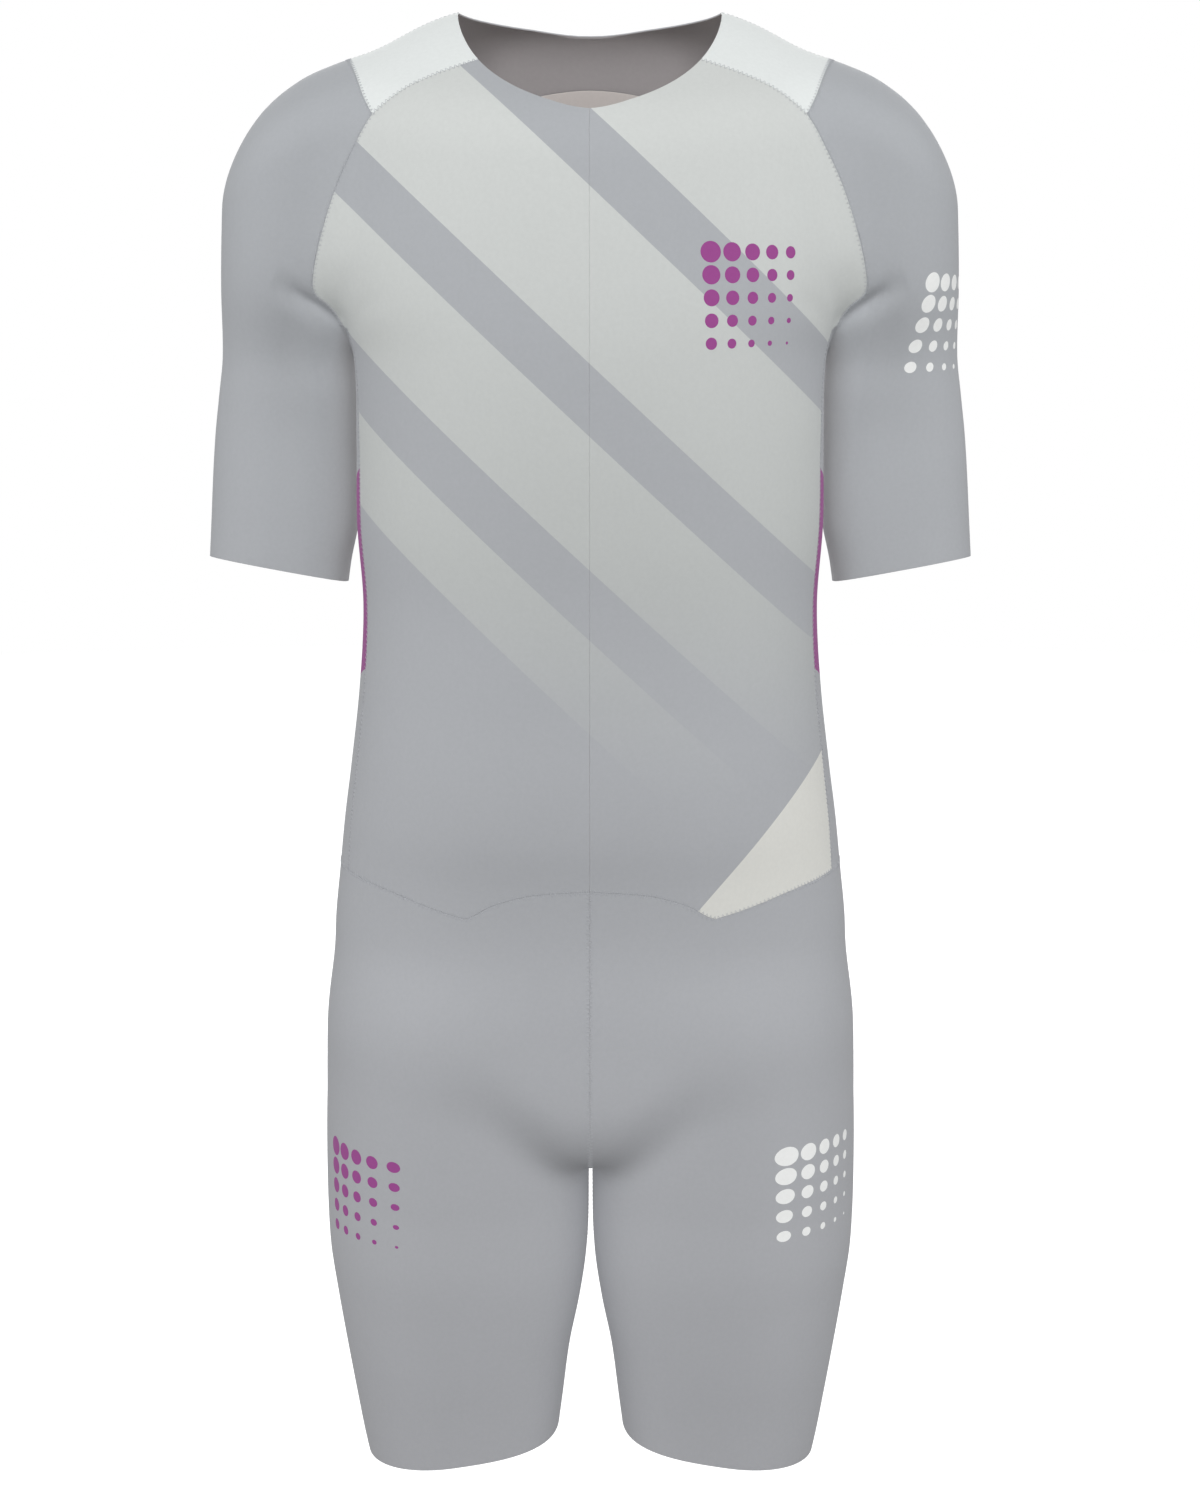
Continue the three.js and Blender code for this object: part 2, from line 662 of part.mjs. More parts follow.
// Fronts: from the centre line to the side seam, between the waist and the neck and shoulder.
const frontSheet = panelSheet(
  join(waistInner, waistOuter),
  join(neckFront, shoulderSeam),
  join(centreLow, centreHigh),
  join(back(sideFront), back(armFront)),
  drawnIn,
);
addPair('front', finish.frontPrint, wall(frontSheet));

// Shoulder panels: from the front shoulder seam up to the ridge.
addPair('shoulder', finish.paleShoulder, wall(panelSheet(
  shoulderSeam,
  ridgeSeam,
  neckSide,
  armTop,
)));

// Side panels: from the armpit to the waist.
addPair('side', finish.sidePrint, wall(panelSheet(
  sideWaist,
  underarm,
  back(sideFront),
  back(sideBack),
  drawnIn,
)));

// Back and back yoke: each in one piece across the centre.
function acrossBack(line) {
  return join(line, back(line).map(mirrored));
}
const YOKE_FACETS = FACETS.shoulder + FACETS.neckBackHalf;
const yokeSeam = spread(yokeCorner.x, 0, YOKE_FACETS, (x) => {
  const share = smooth(0, yokeCorner.x, x);
  return facing(x, lerp(YOKE_CENTRE_Z, yokeCorner.z, share), 1);
});
yokeSeam[0] = yokeCorner;
const backEdge = join(back(sideBack), armBack);
const backSheet = panelSheet(
  acrossBack(waistBack),
  acrossBack(yokeSeam),
  backEdge,
  backEdge.map(mirrored),
  drawnIn,
);
addPiece('back', finish.bodyGrey(), wall(backSheet));
const yokeSheet = panelSheet(
  acrossBack(yokeSeam),
  acrossBack(join(back(ridgeSeam), neckBack)),
  yokeArm,
  yokeArm.map(mirrored),
);
addPiece('back_yoke', finish.bodyGrey(), wall(yokeSheet));

// Sleeves: open at the armhole and the hem.
const armholeLoop = join(back(yokeArm), back(armBack), back(underarm), back(armFront), armTop);
const armholeBack = FACETS.yokeArm + FACETS.armBack + FACETS.underarm / 2;
addPair('sleeve', finish.bodyGrey, wall(sleeveSheet(armholeLoop, armholeBack), { tube: true }));

// Legs of the shorts: each is one piece wrapped round the thigh to its own inseam, and the two meet
// in the centre seam, front and back.
const legWaist = join(waistInner, waistOuter, sideWaist, waistBack);
const legEdge = legHem(legWaist.length - 1);
const inseam = seamLine([legEdge[0], riseFront[FACETS.rise]], FACETS.inseam);
addPair('leg', finish.bodyGrey, wall(legSheet(
  legEdge,
  legWaist,
  join(inseam, back(riseFront)),
  join(inseam, back(riseBack)),
)));

// Concealed zip: a tape behind the centre-front edges, made from the points of the front panel.
const zipSheet = frontSheet.slice(centreLow.length - 1).map((row) => {
  const middle = row[0];
  const edge = middle.clone().lerp(row[1], ZIP_HALF_WIDTH / row[1].x);
  return [mirrored(edge), middle.clone(), edge];
});
const zipTop = zipSheet.length - 1;
zipSheet[zipTop] = zipSheet[zipTop].map((p, i) => {
  const below = zipSheet[zipTop - 1][i];
  return p.clone().lerp(below, ZIP_TOP_INSET / p.distanceTo(below));
});
addPiece('front_zip', finish.zipTape(), wall(zipSheet, {
  thick: ZIP_THICK,
  depth: CLOTH + SEAM_GAP,
}));

export default suit;
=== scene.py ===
"""Cycling skinsuit: its cloth panels, seams, concealed zip and print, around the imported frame.

The suit is stored in its worn shape. The chest faces -Y, the wearer's left is +X, and the origin is
midway between the neck edge's two shoulder points. Shapes are worked out in millimetres and put
into the meshes in metres.
"""

import math
from functools import lru_cache

import bpy
import numpy as np
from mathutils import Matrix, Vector


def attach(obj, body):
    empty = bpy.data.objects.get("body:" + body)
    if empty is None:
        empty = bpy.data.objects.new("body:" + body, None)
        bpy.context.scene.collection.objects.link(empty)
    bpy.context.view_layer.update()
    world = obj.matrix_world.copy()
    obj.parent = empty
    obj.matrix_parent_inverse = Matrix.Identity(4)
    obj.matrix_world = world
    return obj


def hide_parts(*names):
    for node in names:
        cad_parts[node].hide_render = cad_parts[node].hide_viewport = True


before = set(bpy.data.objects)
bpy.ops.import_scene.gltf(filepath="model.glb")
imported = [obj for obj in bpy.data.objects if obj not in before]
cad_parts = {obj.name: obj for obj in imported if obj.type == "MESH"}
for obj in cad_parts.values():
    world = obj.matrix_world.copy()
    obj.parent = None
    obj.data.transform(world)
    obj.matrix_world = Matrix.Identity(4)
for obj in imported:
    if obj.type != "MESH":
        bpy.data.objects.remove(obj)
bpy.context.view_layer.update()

bl_info = {
    "name": "Cycling skinsuit",
    "version": (1, 0, 0),
    "blender": (4, 5, 0),
    "location": "3D View > Sidebar > Skinsuit",
    "description": "Builds a short-sleeved cycling skinsuit from its cut-and-sewn cloth panels",
    "category": "Object",
}

MM = 0.001

# ---------------- the figure inside the cloth
NECK_HALF_WIDTH, NECK_FRONT, NECK_BACK = 78, 85, 70
NECK_V_REACH, NECK_V_DROP = 22, 1.5
RIDGE_Y = 5
FRONT_FALL, NAPE_FALL, BACK_FALL = 0.86, 0.33, 0.8
RIDGE_ROUND_NECK, RIDGE_ROUND_ARM = 14, 26
RIDGE_INNER, RIDGE_OUTER = 60, 150
SHOULDER_BLEND, SHOULDER_STEEPNESS = 16, 0.8
TRUNK_FULLNESS, LIMB_INNER_FULLNESS = 2.2, 3
TRUNK_FLOOR, FLOOR_BLEND = -694, 46
FLOOR_RISE, FLOOR_RISE_INNER, FLOOR_RISE_OUTER, FLOOR_RISE_DEPTH = 42, 8, 74, 20
THIGH_TOP, THIGH_BLEND = -560, 60
HIP_BLEND, INSEAM_BLEND = 16, 3
ARMPIT_TOP, ARMPIT_LOW = -140, -192
ARMPIT_BLEND_TOP, ARMPIT_BLEND_LOW = 26, 3
ARM_END = -362

# Trunk by level: half width, depth forward and back.
TRUNK = {
    "z": [40, -20, -60, -100, -140, -172, -200, -250, -300, -350, -400, -450, -482, -515, -550,
          -600, -650, -700, -800],
    "half": [150, 150, 150, 153, 156, 151, 142.5, 141.5, 142, 139, 142, 148, 152.4, 156, 159.5,
             160, 157, 152, 148],
    "front": [74, 84, 95, 102, 107, 110, 111, 109, 105, 101, 101, 103, 101, 95, 92.5, 96.5, 97.5,
              89, 62],
    "back": [66, 82, 92, 99, 103, 104, 103, 97, 89, 82, 79, 82, 87.5, 95, 103, 112, 112, 98, 70],
}
# One arm and one thigh by level: centre, half width, half depth.
ARM = {
    "z": [20, -60, -110, -160, -200, -225, -250, -300, -330, -370],
    "x": [166, 166, 168, 174, 184.5, 186.5, 188, 190, 194, 198],
    "y": [8, 8, 10, 15, 24, 26, 28, 30, 31, 32],
    "half": [53, 53, 53, 50, 42, 43.5, 44.8, 45.5, 43.5, 42],
    "deep": [54, 56, 57, 56, 50, 49, 48, 47, 47, 46],
}
THIGH = {
    "z": [-500, -600, -660, -720, -760, -790, -823, -858, -892, -930],
    "x": [82, 83, 84.4, 84.7, 84.4, 84.4, 85.1, 84.5, 83.5, 80],
    "y": [3, 5, 6, 4, 2, 1, 0, 0, 0, 0],
    "half": [76, 80, 82.9, 83.3, 82.1, 78, 72.1, 67, 62, 57],
    "deep": [92, 95, 94, 90, 87, 83, 78, 73, 69, 66],
}
# Height of the shoulder ridge from the middle of the neck out over the arm.
RIDGE = {
    "x": [0, 45, 76, 98, 126, 152, 172, 194, 214, 240],
    "z": [6.5, 5.5, 1, -6.5, -20.5, -29.5, -38.5, -56, -84, -126],
}
# Sections of the sleeve by share of its length: outer and inner ends, the depth of the middle,
# and how steeply the section falls towards the back.
SLEEVE_SECTIONS = {
    "share": [0, 0.25, 0.5, 0.75, 1],
    "outX": [144, 206, 222, 230, 237],
    "outZ": [-25, -77, -158, -242, -325],
    "inX": [144, 150, 150, 150, 151],
    "inZ": [-190, -222, -264, -302, -341],
    "y": [8, 15, 22, 28, 31],
    "fall": [0, 0.025, 0.05, 0.075, 0.1],
}

# ---------------- seams of the left side
SHOULDER_NECK_X, ARMHOLE_RIDGE_X = 64, 144
SHOULDER_CORNER = (125, -62)
ARMHOLE_FRONT = [(145, -98), (157, -132), (163.5, -167)]
ARMPIT_DEPTHS = {"front_fold": -38, "front": -26, "back": 32, "back_fold": 44}
ARMHOLE_BACK = [(151, -152), (147, -112)]
YOKE_CORNER, YOKE_CENTRE_Z = (139, -66), -38
SIDE_SEAMS = {"z": [-250, -380, -511], "front": [-30, -31, -34], "back": [44, 42, 44]}
WAIST = {
    "x": [0, 35, 58, 75, 95, 125, 150],
    "z": [-511, -514, -521, -530, -525, -516, -511],
}
WAIST_POINT_X, WAIST_SIDE_X, WAIST_BACK_Z = 75, (95, 120), -500
LEG_HEM = {"x": 83, "z": -890, "outwards": -0.165, "rearwards": -0.06}
RISE_Y, RISE_Z = 2, -560
ZIP_LOW, ZIP_TOP_INSET = -410, 3
TAPE_DEPTH, TAPE_THICK, TAPE_CELLS, TAPE_ROWS = 1.28, 0.45, 12, 180
# Coil of the zip: middle and reach of each half, height of a turn, and the bare end of the tape.
COIL_MIDDLE, COIL_REACH, COIL_HEIGHT, COIL_END, COIL_STEPS = 0.75, 1.35, 0.45, 2, 8

# Grid cells along each stretch of seam.
CELLS = {
    "neck_front": 20, "shoulder": 20, "neck_side": 16, "arm_front": 36, "underarm": 16,
    "arm_back": 36, "yoke_arm": 14, "side": 84, "neck_back": 16, "rise": 60, "inseam": 52,
    "sleeve": 84,
}
SEAM_ROUNDING = 6
RELAX_ROUNDS, RELAX_PASSES, SLEEVE_PASSES = 3, 20, 2

# How points find the skin: steps in millimetres, and how many are taken at most.
SLOPE_STEP, SETTLE_STEP, LEAVE_STEP = 0.2, 12, 4
SETTLE_STEPS, LEAVE_STEPS, HALVINGS = 24, 100, 34
INSIDE_CHEST_Z, INSIDE_TRUNK_X = -140, 60
ARMPIT_BETWEEN, INSIDE_ARMPIT_Z, ARMPIT_TRIES, ARMPIT_NARROWINGS = (132.0, 158.0), -150, 25, 5


def column(table, key, name, at):
    """Smooth curve through a table: a cubic between rows, sloped along each row's neighbours."""
    keys = np.asarray(table[key], float)
    values = np.asarray(table[name], float)
    at = np.asarray(at, float)
    if keys[-1] < keys[0]:
        keys, at = -keys, -at
    slopes = np.empty_like(values)
    slopes[1:-1] = (values[2:] - values[:-2]) / (keys[2:] - keys[:-2])
    slopes[0] = (values[1] - values[0]) / (keys[1] - keys[0])
    slopes[-1] = (values[-1] - values[-2]) / (keys[-1] - keys[-2])
    i = np.clip(np.searchsorted(keys, at) - 1, 0, len(keys) - 2)
    span = keys[i + 1] - keys[i]
    t = np.clip((at - keys[i]) / span, 0, 1)
    t2, t3 = t * t, t * t * t
    return (
        (2 * t3 - 3 * t2 + 1) * values[i] + (t3 - 2 * t2 + t) * span * slopes[i]
        + (3 * t2 - 2 * t3) * values[i + 1] + (t3 - t2) * span * slopes[i + 1]
    )


def lerp(a, b, t):
    return a + (b - a) * t


def smooth(a, b, value):
    """0 before a, 1 after b, and an S-shaped step between."""
    t = np.clip((value - a) / (b - a), 0, 1)
    return t * t * (3 - 2 * t)


def blend_min(a, b, size):
    """The smaller of two distances, with a round fillet of the given size where they are close."""
    h = np.maximum(size - np.abs(a - b), 0) / size
    return np.minimum(a, b) - h * h * size / 4


def blend_max(a, b, size):
    return -blend_min(-a, -b, size)


def column_distance(x, y, half, depth, fullness):
    """Distance from an upright column's outline, measured along the line from its middle."""
    reach = np.maximum(np.hypot(x, y), 1e-6)
    ratio = ((np.abs(x) / half) ** fullness + (np.abs(y) / depth) ** fullness) ** (1 / fullness)
    return reach * (1 - 1 / np.maximum(ratio, 1e-9))


def ridge_height(x, y):
    """Height of the shoulders: a rounded roof that falls away in front of and behind the ridge."""
    outwards = smooth(RIDGE_INNER, RIDGE_OUTER, x)
    rounding = lerp(RIDGE_ROUND_NECK, RIDGE_ROUND_ARM, outwards)
    fall = np.where(y < RIDGE_Y, FRONT_FALL, lerp(NAPE_FALL, BACK_FALL, outwards))
    away = fall * (y - RIDGE_Y)
    return column(RIDGE, "x", "z", x) - (np.sqrt(rounding**2 + away**2) - rounding)


def limb(table, x, y, z):
    """A limb's distance: an ellipse on its outer side, and squarer on the side of the body."""
    outwards = x - column(table, "z", "x", z)
    return column_distance(
        outwards,
        y - column(table, "z", "y", z),
        column(table, "z", "half", z),
        column(table, "z", "deep", z),
        np.where(outwards < 0, LIMB_INNER_FULLNESS, 2),
    )


def figure(p):
    """Below zero inside the worn shape and zero on the cloth: trunk, arms and thighs, each a column
    whose size follows its table, joined with fillets and roofed by the shoulders."""
    x, y, z = np.abs(p[..., 0]), p[..., 1], p[..., 2]
    depth = np.where(y < 0, column(TRUNK, "z", "front", z), column(TRUNK, "z", "back", z))
    trunk = column_distance(x, y, column(TRUNK, "z", "half", z), depth, TRUNK_FULLNESS)
    rise = FLOOR_RISE * smooth(FLOOR_RISE_INNER, FLOOR_RISE_OUTER, x)
    rise = rise * smooth(-FLOOR_RISE_DEPTH, FLOOR_RISE_DEPTH, -y)
    torso = blend_max(trunk, TRUNK_FLOOR + rise - z, FLOOR_BLEND)
    arm = np.maximum(limb(ARM, x, y, z), ARM_END - z)
    armpit = lerp(ARMPIT_BLEND_TOP, ARMPIT_BLEND_LOW, smooth(ARMPIT_TOP, ARMPIT_LOW, z))
    upper = blend_min(torso, arm, armpit)
    roof = SHOULDER_STEEPNESS * (z - ridge_height(x, y))
    roofed = blend_max(upper, roof, SHOULDER_BLEND)
    thighs = blend_min(limb(THIGH, x, y, z), limb(THIGH, -x, y, z), INSEAM_BLEND)
    legs = blend_max(thighs, z - THIGH_TOP, THIGH_BLEND)
    return np.where(z > THIGH_TOP + THIGH_BLEND, roofed, blend_min(roofed, legs, HIP_BLEND))


def outward(p):
    """Slope of the distance, by differences over a short step each way."""
    moves = np.eye(3) * SLOPE_STEP
    return np.stack([figure(p + m) - figure(p - m) for m in moves], axis=-1) / (2 * SLOPE_STEP)


def unit(v):
    return v / np.maximum(np.linalg.norm(v, axis=-1, keepdims=True), 1e-12)


def settle(p):
    """Moves points onto the skin, down the slope of the distance."""
    p = np.array(p, float)
    for _ in range(SETTLE_STEPS):
        slope = outward(p)
        move = figure(p) / np.maximum((slope**2).sum(-1), 0.2)
        p = p - slope * np.clip(move, -SETTLE_STEP, SETTLE_STEP)[..., None]
        if np.abs(move).max() < 1e-4:
            break
    return p


def leave(start, direction):
    """Where straight lines out of the figure leave it: stepped outwards, then halved."""
    start, direction = np.broadcast_arrays(np.asarray(start, float), np.asarray(direction, float))
    inside = np.zeros(start.shape[:-1])
    outside = inside + LEAVE_STEP

    def value(t):
        return figure(start + direction * t[..., None])

    for _ in range(LEAVE_STEPS):
        going = value(outside) < 0
        if not going.any():
            break
        inside = np.where(going, outside, inside)
        outside = np.where(going, outside + LEAVE_STEP, outside)
    for _ in range(HALVINGS):
        middle = (inside + outside) / 2
        within = value(middle) < 0
        inside = np.where(within, middle, inside)
        outside = np.where(within, outside, middle)
    return start + direction * inside[..., None]


def points(x, y, z):
    return np.stack(np.broadcast_arrays(*(np.asarray(v, float) for v in (x, y, z))), axis=-1)


def facing(x, z, way):
    """Points of the skin seen from the front (way -1) or from the back (way 1)."""
    return leave(points(x, RIDGE_Y, z), np.array([0.0, way, 0.0]))


def above(x, y):
    return leave(points(x, y, INSIDE_CHEST_Z), np.array([0.0, 0.0, 1.0]))


def beside(y, z):
    return leave(points(INSIDE_TRUNK_X, y, z), np.array([1.0, 0.0, 0.0]))


def armpit(y):
    """Highest points of the fold between arm and chest, at depths y, by narrowing down on x."""
    y = np.atleast_1d(np.asarray(y, float))
    low, high = (np.full(y.shape, x) for x in ARMPIT_BETWEEN)

    def ceiling(x, y):
        return leave(points(x, y, INSIDE_ARMPIT_Z), np.array([0.0, 0.0, -1.0]))

    for _ in range(ARMPIT_NARROWINGS):
        x = low[:, None] + (high - low)[:, None] * np.linspace(0, 1, ARMPIT_TRIES)
        best = ceiling(x, y[:, None])[..., 2].argmax(axis=1)
        middle, reach = x[np.arange(len(y)), best], (high - low) / 12
        low, high = middle - reach, middle + reach
    return ceiling(middle, y)


def arc_length(line):
    return np.concatenate([[0.0], np.linalg.norm(np.diff(line, axis=0), axis=1).cumsum()])


def evenly(line, cells):
    """The same line cut into equal lengths."""
    along = arc_length(line)
    at = np.linspace(0, along[-1], cells + 1)
    return np.stack([np.interp(at, along, line[:, k]) for k in range(3)], axis=-1)


def seam_line(places, cells):
    """Smooth line through a few places, keyed by the chords between them, laid on the skin."""
    places = np.array(places, float)
    along = arc_length(places)
    fine = np.linspace(0, along[-1], 12 * cells + 1)
    tables = [{"t": along, "v": places[:, k]} for k in range(3)]
    line = settle(np.stack([column(t, "t", "v", fine) for t in tables], axis=-1))
    line[0], line[-1] = places[0], places[-1]
    line = evenly(line, cells)
    for _ in range(SEAM_ROUNDING):
        line[1:-1] = (line[:-2] + 2 * line[1:-1] + line[2:]) / 4
    line[1:-1] = settle(line[1:-1])
    return line


def join(*lines):
    return np.concatenate([lines[0]] + [line[1:] for line in lines[1:]])


def mirrored(line):
    return line * np.array([-1.0, 1.0, 1.0])


def neck_line(start, end, cells):
    """The neck edge seen from above: half an ellipse in front, another behind, with a small dip."""
    angle = np.radians(np.linspace(start, end, cells + 1))
    x = NECK_HALF_WIDTH * np.cos(angle)
    dip = NECK_V_DROP * np.maximum(0, 1 - np.abs(x) / NECK_V_REACH)
    y = np.where(angle < 0, NECK_FRONT * np.sin(angle) - dip, NECK_BACK * np.sin(angle))
    return above(x, y)


def waist_front(x):
    return facing(x, column(WAIST, "x", "z", x), -1)


def line_over_back(corner, centre_z, cells):
    """Line over the back, from a corner to the middle, which it meets level at its own height."""
    x = np.linspace(corner[0], 0, cells + 1)
    line = facing(x, lerp(centre_z, corner[2], smooth(0, corner[0], x)), 1)
    line[0] = corner
    return line


def rise_line(waist, cells):
    """Centre seam of the shorts, by the angle about a point inside the trunk."""
    start = math.atan2(waist[1] - RISE_Y, RISE_Z - waist[2])
    angle = np.linspace(start, 0, cells + 1)
    line = leave(
        np.array([0.0, RISE_Y, RISE_Z]),
        points(0, np.sin(angle), -np.cos(angle)),
    )
    return evenly(line, cells)


def leg_hem(cells):
    """Hem of the left leg, from the inseam round by the front and the back to the inseam."""
    angle = np.linspace(math.pi, 3 * math.pi, cells + 1)
    x, y = np.cos(angle), np.sin(angle)
    way = points(x, y, LEG_HEM["outwards"] * x + LEG_HEM["rearwards"] * y)
    return leave(np.array([LEG_HEM["x"], 0.0, LEG_HEM["z"]]), way)


@lru_cache(maxsize=None)
def seams():
    """Every seam and edge of the wearer's left side, as evenly divided lines on the skin."""
    n, s = CELLS, {}
    ridge_angle = math.degrees(math.asin(RIDGE_Y / NECK_BACK))
    corner_angle = -math.degrees(math.acos(SHOULDER_NECK_X / NECK_HALF_WIDTH))
    s["neck_front"] = neck_line(-90, corner_angle, n["neck_front"])
    s["neck_side"] = neck_line(corner_angle, ridge_angle, n["neck_side"])
    s["neck_back"] = neck_line(ridge_angle, 90, n["neck_back"])
    corner = facing(*SHOULDER_CORNER, -1)
    yoke_corner = facing(*YOKE_CORNER, 1)
    arm_ridge = above(ARMHOLE_RIDGE_X, RIDGE_Y)
    s["shoulder"] = seam_line([s["neck_side"][0], corner], n["shoulder"])
    ridge_x = np.linspace(s["neck_back"][0, 0], ARMHOLE_RIDGE_X, n["shoulder"] + 1)
    s["ridge"] = above(ridge_x, RIDGE_Y)
    s["arm_top"] = seam_line([corner, arm_ridge], n["neck_side"])
    s["yoke_arm"] = seam_line([yoke_corner, arm_ridge], n["yoke_arm"])
    depths = ARMPIT_DEPTHS
    s["underarm"] = armpit(np.linspace(depths["front"], depths["back"], n["underarm"] + 1))
    front_places = [facing(x, z, -1) for x, z in ARMHOLE_FRONT]
    back_places = [facing(x, z, 1) for x, z in ARMHOLE_BACK]
    s["arm_front"] = seam_line(
        [corner, *front_places, armpit(depths["front_fold"])[0], s["underarm"][0]],
        n["arm_front"],
    )
    s["arm_back"] = seam_line(
        [s["underarm"][-1], armpit(depths["back_fold"])[0], *back_places, yoke_corner],
        n["arm_back"],
    )
    for edge, end in (("front", 0), ("back", -1)):
        places = [beside(y, z) for y, z in zip(SIDE_SEAMS[edge], SIDE_SEAMS["z"])]
        s[f"side_{edge}"] = seam_line([s["underarm"][end], *places], n["side"])
    s["armhole"] = join(
        s["yoke_arm"][::-1], s["arm_back"][::-1], s["underarm"][::-1], s["arm_front"][::-1],
        s["arm_top"],
    )
    s["side_waist"] = seam_line([s["side_front"][-1], s["side_back"][-1]], n["underarm"])
    s["waist_inner"] = waist_front(np.linspace(0, WAIST_POINT_X, n["neck_front"] + 1))
    outer_places = [waist_front(x) for x in (WAIST_POINT_X, *WAIST_SIDE_X)]
    s["waist_outer"] = seam_line([*outer_places, s["side_front"][-1]], n["shoulder"])
    back_cells = n["shoulder"] + n["neck_back"]
    s["waist_back"] = line_over_back(s["side_back"][-1], WAIST_BACK_Z, back_cells)
    s["yoke"] = line_over_back(yoke_corner, YOKE_CENTRE_Z, back_cells)
    centre_z = np.linspace(
        s["waist_inner"][0, 2], s["neck_front"][0, 2], n["arm_front"] + n["side"] + 1
    )
    s["centre"] = facing(0, centre_z, -1)
    s["centre"][-1] = s["neck_front"][0]
    s["rise_front"] = rise_line(s["waist_inner"][0], n["rise"])
    s["rise_back"] = rise_line(s["waist_back"][-1], n["rise"])
    s["leg_waist"] = join(s["waist_inner"], s["waist_outer"], s["side_waist"], s["waist_back"])
    s["leg_hem"] = leg_hem(len(s["leg_waist"]) - 1)
    s["inseam"] = seam_line([s["leg_hem"][0], s["rise_front"][-1]], n["inseam"])
    return s


# ---------------- sheets of points
def coons(bottom, top, left, right):
    """Fills four edges: across plus along, less the corners' own surface."""
    u = np.linspace(0, 1, len(bottom))[None, :, None]
    v = np.linspace(0, 1, len(left))[:, None, None]
    across = lerp(left[:, None], right[:, None], u)
    along = lerp(bottom[None], top[None], v)
    corners = lerp(lerp(bottom[0], bottom[-1], u), lerp(top[0], top[-1], u), v)
    return across + along - corners


def relaxed(sheet, tube=False, rounds=RELAX_ROUNDS, passes=RELAX_PASSES):
    """Evens out a sheet between its fixed edges: each inner point moves to the mean of its four
    neighbours, many times over, and back onto the skin."""
    inner = (slice(1, -1), slice(None) if tube else slice(1, -1))
    for _ in range(rounds):
        for _ in range(passes):
            moved = sum(np.roll(sheet, step, axis) for axis in (0, 1) for step in (-1, 1)) / 4
            sheet[inner] = moved[inner]
        sheet[inner] = settle(sheet[inner])
    return sheet


def panel_sheet(bottom, top, left, right):
    """A panel between four seams, filled straight and relaxed on the skin. Its edges stay."""
    sheet = coons(bottom, top, left, right)
    sheet[1:-1, 1:-1] = settle(sheet[1:-1, 1:-1])
    return relaxed(sheet)


def unrolled(line, axis, start):
    """A line as angle, radius and height about an upright axis, its angles running on from the
    start."""
    away = line - np.array([axis[0], axis[1], 0.0])
    angle = np.unwrap(np.arctan2(away[:, 1], away[:, 0]))
    angle += 2 * math.pi * round((start - angle[0]) / (2 * math.pi))
    return points(angle, np.hypot(away[:, 0], away[:, 1]), away[:, 2])


def round_sheet(bottom, top, left, right, axis, start=0.0):
    """A panel that bends round an upright axis: filled in angle, radius and height, then settled
    on the skin."""
    flat_left = unrolled(left, axis, start)
    flat_bottom = unrolled(bottom, axis, start)
    flat = coons(
        flat_bottom,
        unrolled(top, axis, flat_left[-1, 0]),
        flat_left,
        unrolled(right, axis, flat_bottom[-1, 0]),
    )
    angle, radius, z = np.moveaxis(flat, -1, 0)
    sheet = points(axis[0] + radius * np.cos(angle), axis[1] + radius * np.sin(angle), z)
    sheet[1:-1, 1:-1] = settle(sheet[1:-1, 1:-1])
    sheet[0], sheet[-1], sheet[:, 0], sheet[:, -1] = bottom, top, left, right
    return relaxed(sheet)


def sleeve_frame(share):
    """Section of the sleeve: its middle, and axes outwards, rearwards and towards the armhole,
    each as long as half the section."""
    def value(name):
        return column(SLEEVE_SECTIONS, "share", name, share)

    outer = points(value("outX"), value("y"), value("outZ"))
    inner = points(value("inX"), value("y"), value("inZ"))
    half = (outer - inner) / 2
    length = np.linalg.norm(half, axis=-1)
    rearwards = unit(points(0, 1, -value("fall"))) * length[..., None]
    upwards = unit(np.cross(half, rearwards)) * length[..., None]
    return (outer + inner) / 2, np.stack([half, rearwards, upwards], axis=-1)


def sleeve_sheet(loop, back_cells, cells):
    """From the hem up to the armhole loop. Each ring is the armhole's outline turning into the
    hem's, both written in their own section's axes, and is settled on the skin."""
    top_middle, top_axes = sleeve_frame(0)
    hem_middle, hem_axes = sleeve_frame(1)
    count = len(loop)
    i = np.arange(count)
    half = np.where(i < back_cells, i / back_cells, 1 + (i - back_cells) / (count - back_cells))
    way = points(np.cos(half * math.pi), np.sin(half * math.pi), 0) @ unit(hem_axes.T)
    hem = leave(hem_middle, way)
    top_outline = (loop - top_middle) @ np.linalg.inv(top_axes).T
    hem_outline = (hem - hem_middle) @ np.linalg.inv(hem_axes).T
    share = np.linspace(1, 0, cells + 1)
    middle, axes = sleeve_frame(share)
    outline = lerp(top_outline[None], hem_outline[None], share[:, None, None])
    sheet = np.einsum("jik,jlk->jil", outline, axes) + middle[:, None]
    sheet[1:-1] = settle(sheet[1:-1])
    sheet[0], sheet[-1] = hem, loop
    return relaxed(sheet, tube=True, rounds=1, passes=SLEEVE_PASSES)


def carried_round(grid, tube):
    """A tube's grid with its first column again at the end; any other grid as it is."""
    return np.concatenate([grid, grid[:, :1]], axis=1) if tube else grid


def grid_lengths(sheet, tube):
    """Arc lengths along rows and columns, which lay the knit's pattern on the cloth."""
    rows = carried_round(sheet, tube)
    u = np.linalg.norm(np.diff(rows, axis=1), axis=2).cumsum(axis=1)
    v = np.linalg.norm(np.diff(rows, axis=0), axis=2).cumsum(axis=0)
    u = np.concatenate([np.zeros((len(rows), 1)), u], axis=1)
    v = np.concatenate([np.zeros((1, rows.shape[1])), v], axis=0)
    return np.stack([u, v], axis=-1)


